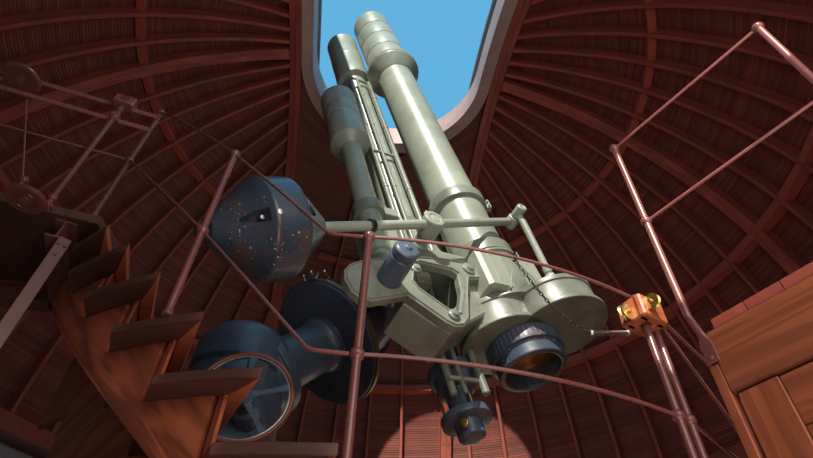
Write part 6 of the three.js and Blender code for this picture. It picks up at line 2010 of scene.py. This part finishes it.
def build_turning_gear(stage, spot, run):
    """Two flat bars on the posts, with a gearbox, a spindle, a flanged wheel and a small pulley."""
    skins = []
    for h in (3.965, 3.84):
        a, b = spot(-0.0135, 0.018, h), spot(run + 0.0595, 0.018, h)
        along = Place(a, stage.basis[0], stage.basis[1], (0, 0, 1))
        skins.append(block((0, -0.0038, -0.0155), (np.linalg.norm(b - a), 0.0038, 0.0155), 0.0015, along))
    local = lambda low, high, bevel=0.004: block(low, high, bevel, stage)
    skins.append(local((0.11, 0.0155, 3.93), (0.218, 0.0815, 3.9965), 0.008))
    skins.append(local((0.145, 0.0155, 3.8225), (0.183, 0.0655, 3.8575)))
    skins.append(local((0.147, 0.0345, 3.0985), (0.239, 0.1055, 3.1115)))
    skins.append(local((0.147, 0.0135, 3.1345), (0.181, 0.0495, 3.1495)))
    at = spot(0.164, 0.082, 3.964)
    skins.append(lathe([[0, 0.0], [0.026, 0.0], [0.026, -0.006], [0, -0.006]], 0.002, 28,
               place_along(at, stage.basis[1])))
    spindle = Place(spot(0.164, 0.05, 0), *stage.basis)
    skins.append(lathe([[0, 3.1005], [0.0125, 3.1005], [0.0125, 3.93], [0, 3.93]], 0.001, 20, spindle))
    for z in (3.16, 3.8, 3.88):
        skins.append(turned(band(0.0125, z, 0.022, 0.006), 20, spindle))
    wheel = Place(spot(0.655, 0.04, 0), *stage.basis)
    profile = np.array([[0, 3.905], [0.022, 3.905], [0.022, 3.9155], [0.07, 3.9155], [0.086, 3.915],
                        [0.0915, 3.9185], [0.088, 3.925], [0.0915, 3.9315], [0.086, 3.9347], [0.07, 3.9342],
                        [0.022, 3.9342], [0.022, 3.978], [0.016, 3.9787], [0, 3.9787]])
    skins.append(turned(profile, 96, wheel))
    pulley = Place(spot(0.222, 0.098, 0), *stage.basis)
    profile = np.array([[0, 3.0745], [0.0235, 3.0745], [0.0235, 3.0805], [0.04, 3.0805], [0.042, 3.083],
                        [0.046, 3.083], [0.048, 3.0805], [0.076, 3.0805], [0.0795, 3.083], [0.07, 3.09],
                        [0.0795, 3.097], [0.076, 3.0995], [0.0235, 3.0995], [0.0235, 3.1155], [0, 3.1155]])
    skins.append(turned(profile, 72, pulley))
    for place, r, z in ((wheel, 0.05, 3.9342), (pulley, 0.048, 3.0995)):
        skins.append(screws(place, r, z, 6, 0.007, 0.004))
    put("dome_turning_gear_cast", skins, "rail", "building", ["dome_turning_gear"])


def chain_links(path, pitch=0.0135, wire=0.0022, long=0.0075, wide=0.0042):
    """Oval links along a path, each turned a quarter from the one before: the centre line of a link is
    (long cos t, wide sin t), and a round wire goes along it."""
    path = np.asarray(path, float)
    length = running_length(path)
    at = np.arange(pitch / 2, length[-1], pitch)
    centre = np.stack([np.interp(at, length, path[:, i]) for i in range(3)], -1)
    along = unit(np.gradient(centre, axis=0))
    side = unit(np.cross(along, (0, 0, 1)))
    up = np.cross(side, along)
    turn = np.where(np.arange(len(at)) % 2 == 0, 0.4, 0.4 + pi / 2)[:, None]
    across = side * np.cos(turn) + up * np.sin(turn)
    t = np.linspace(0, 2 * pi, 12, endpoint=False)
    skins = []
    for c, a, w in zip(centre, along, across):
        loop = c + np.cos(t)[:, None] * long * a + np.sin(t)[:, None] * wide * w
        skins.append(swept(loop, section_round(wire, 6), np.cross(a, w), closed=True))
    return skins


def build_rail_gear():
    """On the floor railing: a hook and chain that hangs to a short tube, and a pulley block clamped to the post."""
    hook = np.array([0.298, -1.978, 2.6815])
    low, tube_end = np.array([0.53, -1.928, 2.437]), np.array([0.687, -1.878, 2.492])
    share = np.linspace(0, 1, 24)[:, None]
    sag = np.array([0, 0, -1.0]) * 0.055 * np.sin(pi * share)
    path = hook + [0, 0, -0.018] + (low - hook - [0, 0, -0.018]) * share + sag
    t = np.linspace(-0.4, 2 * pi - 1.2, 22)
    along = unit(plan(RAIL_RHO, 9.0, 0.0) - plan(RAIL_RHO, 8.0, 0.0))
    loop = hook + np.cos(t)[:, None] * 0.0155 * np.cross(along, (0, 0, 1)) + np.sin(t)[:, None] * [0, 0, 0.0155]
    skins = chain_links(path) + [pipe(loop, 0.003, 10)]
    put("rail_chain", skins, "dark_steel", "building")
    short = [rod(low, tube_end, 0.0085, 20), balls(np.array([low, tube_end]), 0.0105)]
    put("rail_chain_tube", short, "steel", "building")

    p4 = plan(RAIL_RHO, 23.3, 0.0)
    out = unit(p4)
    side = np.cross((0, 0, 1), out)
    base = Place(p4, side, out, (0, 0, 1))
    skins = [block((-0.062, -0.04, 2.56), (-0.018, 0.04, 2.652), 0.006, base, grain=2, tint=0.6),
             block((0.018, -0.04, 2.56), (0.058, 0.04, 2.652), 0.006, base, grain=2, tint=0.7),
             block((-0.062, -0.052, 2.56), (0.058, -0.0175, 2.652), 0.006, base, tint=0.8),
             block((-0.062, 0.0175, 2.56), (0.058, 0.052, 2.652), 0.006, base, tint=0.5)]
    put("post_pulley_block", skins, "planks", "building")
    skins = []
    for x, y, z, r in ((-0.085, 0.0, 2.585, 0.034), (0.08, 0.01, 2.6, 0.028), (-0.03, 0.07, 2.61, 0.03)):
        place = place_along(base.out([x, y, z]), base.basis[1] if abs(y) < 0.05 else base.basis[0])
        profile = rounded([[0, -0.008], [r, -0.008], [r * 0.8, -0.002], [r * 0.8, 0.002], [r, 0.008], [0, 0.008]],
                          0.0015)
        skins.append(turned(profile, 40, place))
        skins.append(lathe([[0, -0.016], [0.007, -0.016], [0.007, 0.016], [0, 0.016]], 0.002, 18, place))
        skins.append(rod(base.out([x, y, z]), base.out([x * 0.45, min(y, 0.045), z]), 0.007, 12))
    put("post_pulleys", skins, "brass", "building")


# Operators: one for the stage, one for the finishes and one for each group of pieces, and the panel that lists them


class OBSERVATORY_OT_stage(bpy.types.Operator):
    """Camera at the place of the photograph, sun, sky, soft lights and a pale floor"""

    bl_idname = "observatory.stage"
    bl_label = "Studio stage"

    def execute(self, context):
        camera()
        lights()
        floor()
        return {"FINISHED"}


class OBSERVATORY_OT_finishes(bpy.types.Operator):
    """Makes every material and gives one to each solid that stays in view"""

    bl_idname = "observatory.finishes"
    bl_label = "Finishes"

    def execute(self, context):
        make_materials()
        dress_nodes()
        return {"FINISHED"}


class OBSERVATORY_OT_lining(bpy.types.Operator):
    """Grooved boards on the inside of the dome"""

    bl_idname = "observatory.lining"
    bl_label = "Lining boards"

    def execute(self, context):
        build_lining()
        return {"FINISHED"}


class OBSERVATORY_OT_ribs(bpy.types.Operator):
    """Common ribs, main ribs, blocks between them and the studs behind the slit"""

    bl_idname = "observatory.ribs"
    bl_label = "Ribs"

    def execute(self, context):
        build_ribs()
        build_back_studs()
        return {"FINISHED"}


class OBSERVATORY_OT_slit(bpy.types.Operator):
    """Side beams and the curved board round the slit"""

    bl_idname = "observatory.slit"
    bl_label = "Slit"

    def execute(self, context):
        build_beams()
        build_slit_board()
        return {"FINISHED"}


class OBSERVATORY_OT_roof(bpy.types.Operator):
    """Sheet metal with standing seams outside the dome"""

    bl_idname = "observatory.roof"
    bl_label = "Roof sheet"

    def execute(self, context):
        build_roof()
        return {"FINISHED"}


class OBSERVATORY_OT_shutters(bpy.types.Operator):
    """Two parted shutter leaves and the rails that carry them"""

    bl_idname = "observatory.shutters"
    bl_label = "Shutters"

    def execute(self, context):
        build_shutters()
        return {"FINISHED"}


class OBSERVATORY_OT_dome_ring(bpy.types.Operator):
    """The ring under the dome with its wheels"""

    bl_idname = "observatory.dome_ring"
    bl_label = "Dome ring"

    def execute(self, context):
        build_dome_ring()
        return {"FINISHED"}


class OBSERVATORY_OT_wall(bpy.types.Operator):
    """The rendered drum with its head and track, and the door"""

    bl_idname = "observatory.wall"
    bl_label = "Wall and door"

    def execute(self, context):
        build_wall()
        build_door()
        return {"FINISHED"}


class OBSERVATORY_OT_floors(bpy.types.Operator):
    """Observing floor of planks on its round wall"""

    bl_idname = "observatory.floors"
    bl_label = "Floors"

    def execute(self, context):
        build_floors()
        return {"FINISHED"}


class OBSERVATORY_OT_pier(bpy.types.Operator):
    """The cast pier with the housing of the polar axis"""

    bl_idname = "observatory.pier"
    bl_label = "Pier"

    def execute(self, context):
        build_pier()
        return {"FINISHED"}


class OBSERVATORY_OT_handwheel(bpy.types.Operator):
    """The wheel for slow motion on the pier"""

    bl_idname = "observatory.handwheel"
    bl_label = "Handwheel"

    def execute(self, context):
        build_handwheel()
        return {"FINISHED"}


class OBSERVATORY_OT_polar_parts(bpy.types.Operator):
    """Hour circle and declination head"""

    bl_idname = "observatory.polar_parts"
    bl_label = "Polar parts"

    def execute(self, context):
        build_polar()
        return {"FINISHED"}


class OBSERVATORY_OT_tubes(bpy.types.Operator):
    """Main tube, second tube and guide tube with their dew caps and lenses"""

    bl_idname = "observatory.tubes"
    bl_label = "Tubes"

    def execute(self, context):
        build_tubes()
        return {"FINISHED"}


class OBSERVATORY_OT_cradle(bpy.types.Operator):
    """Saddle, clamp rings and the front casting with its small weight"""

    bl_idname = "observatory.cradle"
    bl_label = "Tube cradle"

    def execute(self, context):
        build_cradle()
        return {"FINISHED"}


class OBSERVATORY_OT_breech(bpy.types.Operator):
    """Breech casting, plate holder and the tail of the second tube"""

    bl_idname = "observatory.breech"
    bl_label = "Breech"

    def execute(self, context):
        build_breech()
        return {"FINISHED"}


class OBSERVATORY_OT_rods(bpy.types.Operator):
    """Long control rods beside the tubes"""

    bl_idname = "observatory.rods"
    bl_label = "Rods"

    def execute(self, context):
        build_rods()
        return {"FINISHED"}


class OBSERVATORY_OT_relief(bpy.types.Operator):
    """Lever, link and the heavy counterweight"""

    bl_idname = "observatory.relief"
    bl_label = "Relief lever"

    def execute(self, context):
        build_lever()
        build_counterweight()
        return {"FINISHED"}


class OBSERVATORY_OT_stair(bpy.types.Operator):
    """Curved stair with its boards"""

    bl_idname = "observatory.stair"
    bl_label = "Stair"

    def execute(self, context):
        build_stair()
        return {"FINISHED"}


class OBSERVATORY_OT_stages(bpy.types.Operator):
    """Upper stage with its steel frame, and the side stage"""

    bl_idname = "observatory.stages"
    bl_label = "Stages"

    def execute(self, context):
        build_upper_stage()
        build_side_stage()
        return {"FINISHED"}


class OBSERVATORY_OT_railings(bpy.types.Operator):
    """All railings and the gear that turns the dome"""

    bl_idname = "observatory.railings"
    bl_label = "Railings"

    def execute(self, context):
        build_railings()
        return {"FINISHED"}


class OBSERVATORY_OT_rail_gear(bpy.types.Operator):
    """Chain and pulley block on the floor railing"""

    bl_idname = "observatory.rail_gear"
    bl_label = "Chain and pulleys"

    def execute(self, context):
        build_rail_gear()
        return {"FINISHED"}


PIECE_GROUPS = (
    OBSERVATORY_OT_stage,
    OBSERVATORY_OT_finishes,
    OBSERVATORY_OT_lining,
    OBSERVATORY_OT_ribs,
    OBSERVATORY_OT_slit,
    OBSERVATORY_OT_roof,
    OBSERVATORY_OT_shutters,
    OBSERVATORY_OT_dome_ring,
    OBSERVATORY_OT_wall,
    OBSERVATORY_OT_floors,
    OBSERVATORY_OT_pier,
    OBSERVATORY_OT_handwheel,
    OBSERVATORY_OT_polar_parts,
    OBSERVATORY_OT_tubes,
    OBSERVATORY_OT_cradle,
    OBSERVATORY_OT_breech,
    OBSERVATORY_OT_rods,
    OBSERVATORY_OT_relief,
    OBSERVATORY_OT_stair,
    OBSERVATORY_OT_stages,
    OBSERVATORY_OT_railings,
    OBSERVATORY_OT_rail_gear,
)


class OBSERVATORY_PT_panel(bpy.types.Panel):
    """Lists the sizes, the colours and every group of pieces"""

    bl_idname = "OBSERVATORY_PT_panel"
    bl_label = "Observatory dome"
    bl_space_type = "VIEW_3D"
    bl_region_type = "UI"
    bl_category = "Observatory"

    def draw(self, context):
        column = self.layout.column()
        for group in (context.scene.observatory_sizes, context.scene.observatory_colours):
            for name in group.bl_rna.properties.keys():
                if name not in ("rna_type", "name"):
                    column.prop(group, name)
        for operator in PIECE_GROUPS:
            column.operator(operator.bl_idname)


CLASSES = (ObservatorySizes, ObservatoryColours, *PIECE_GROUPS, OBSERVATORY_PT_panel)


def register():
    """Adds the classes, and the two groups of settings to the scene."""
    for cls in CLASSES:
        bpy.utils.register_class(cls)
    bpy.types.Scene.observatory_sizes = bpy.props.PointerProperty(type=ObservatorySizes)
    bpy.types.Scene.observatory_colours = bpy.props.PointerProperty(type=ObservatoryColours)


def unregister():
    """Takes away what register() adds."""
    del bpy.types.Scene.observatory_colours
    del bpy.types.Scene.observatory_sizes
    for cls in reversed(CLASSES):
        bpy.utils.unregister_class(cls)


def main():
    register()
    for operator in PIECE_GROUPS:
        group, name = operator.bl_idname.split(".")
        getattr(getattr(bpy.ops, group), name)()
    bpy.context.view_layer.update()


if __name__ == "__main__":
    main()
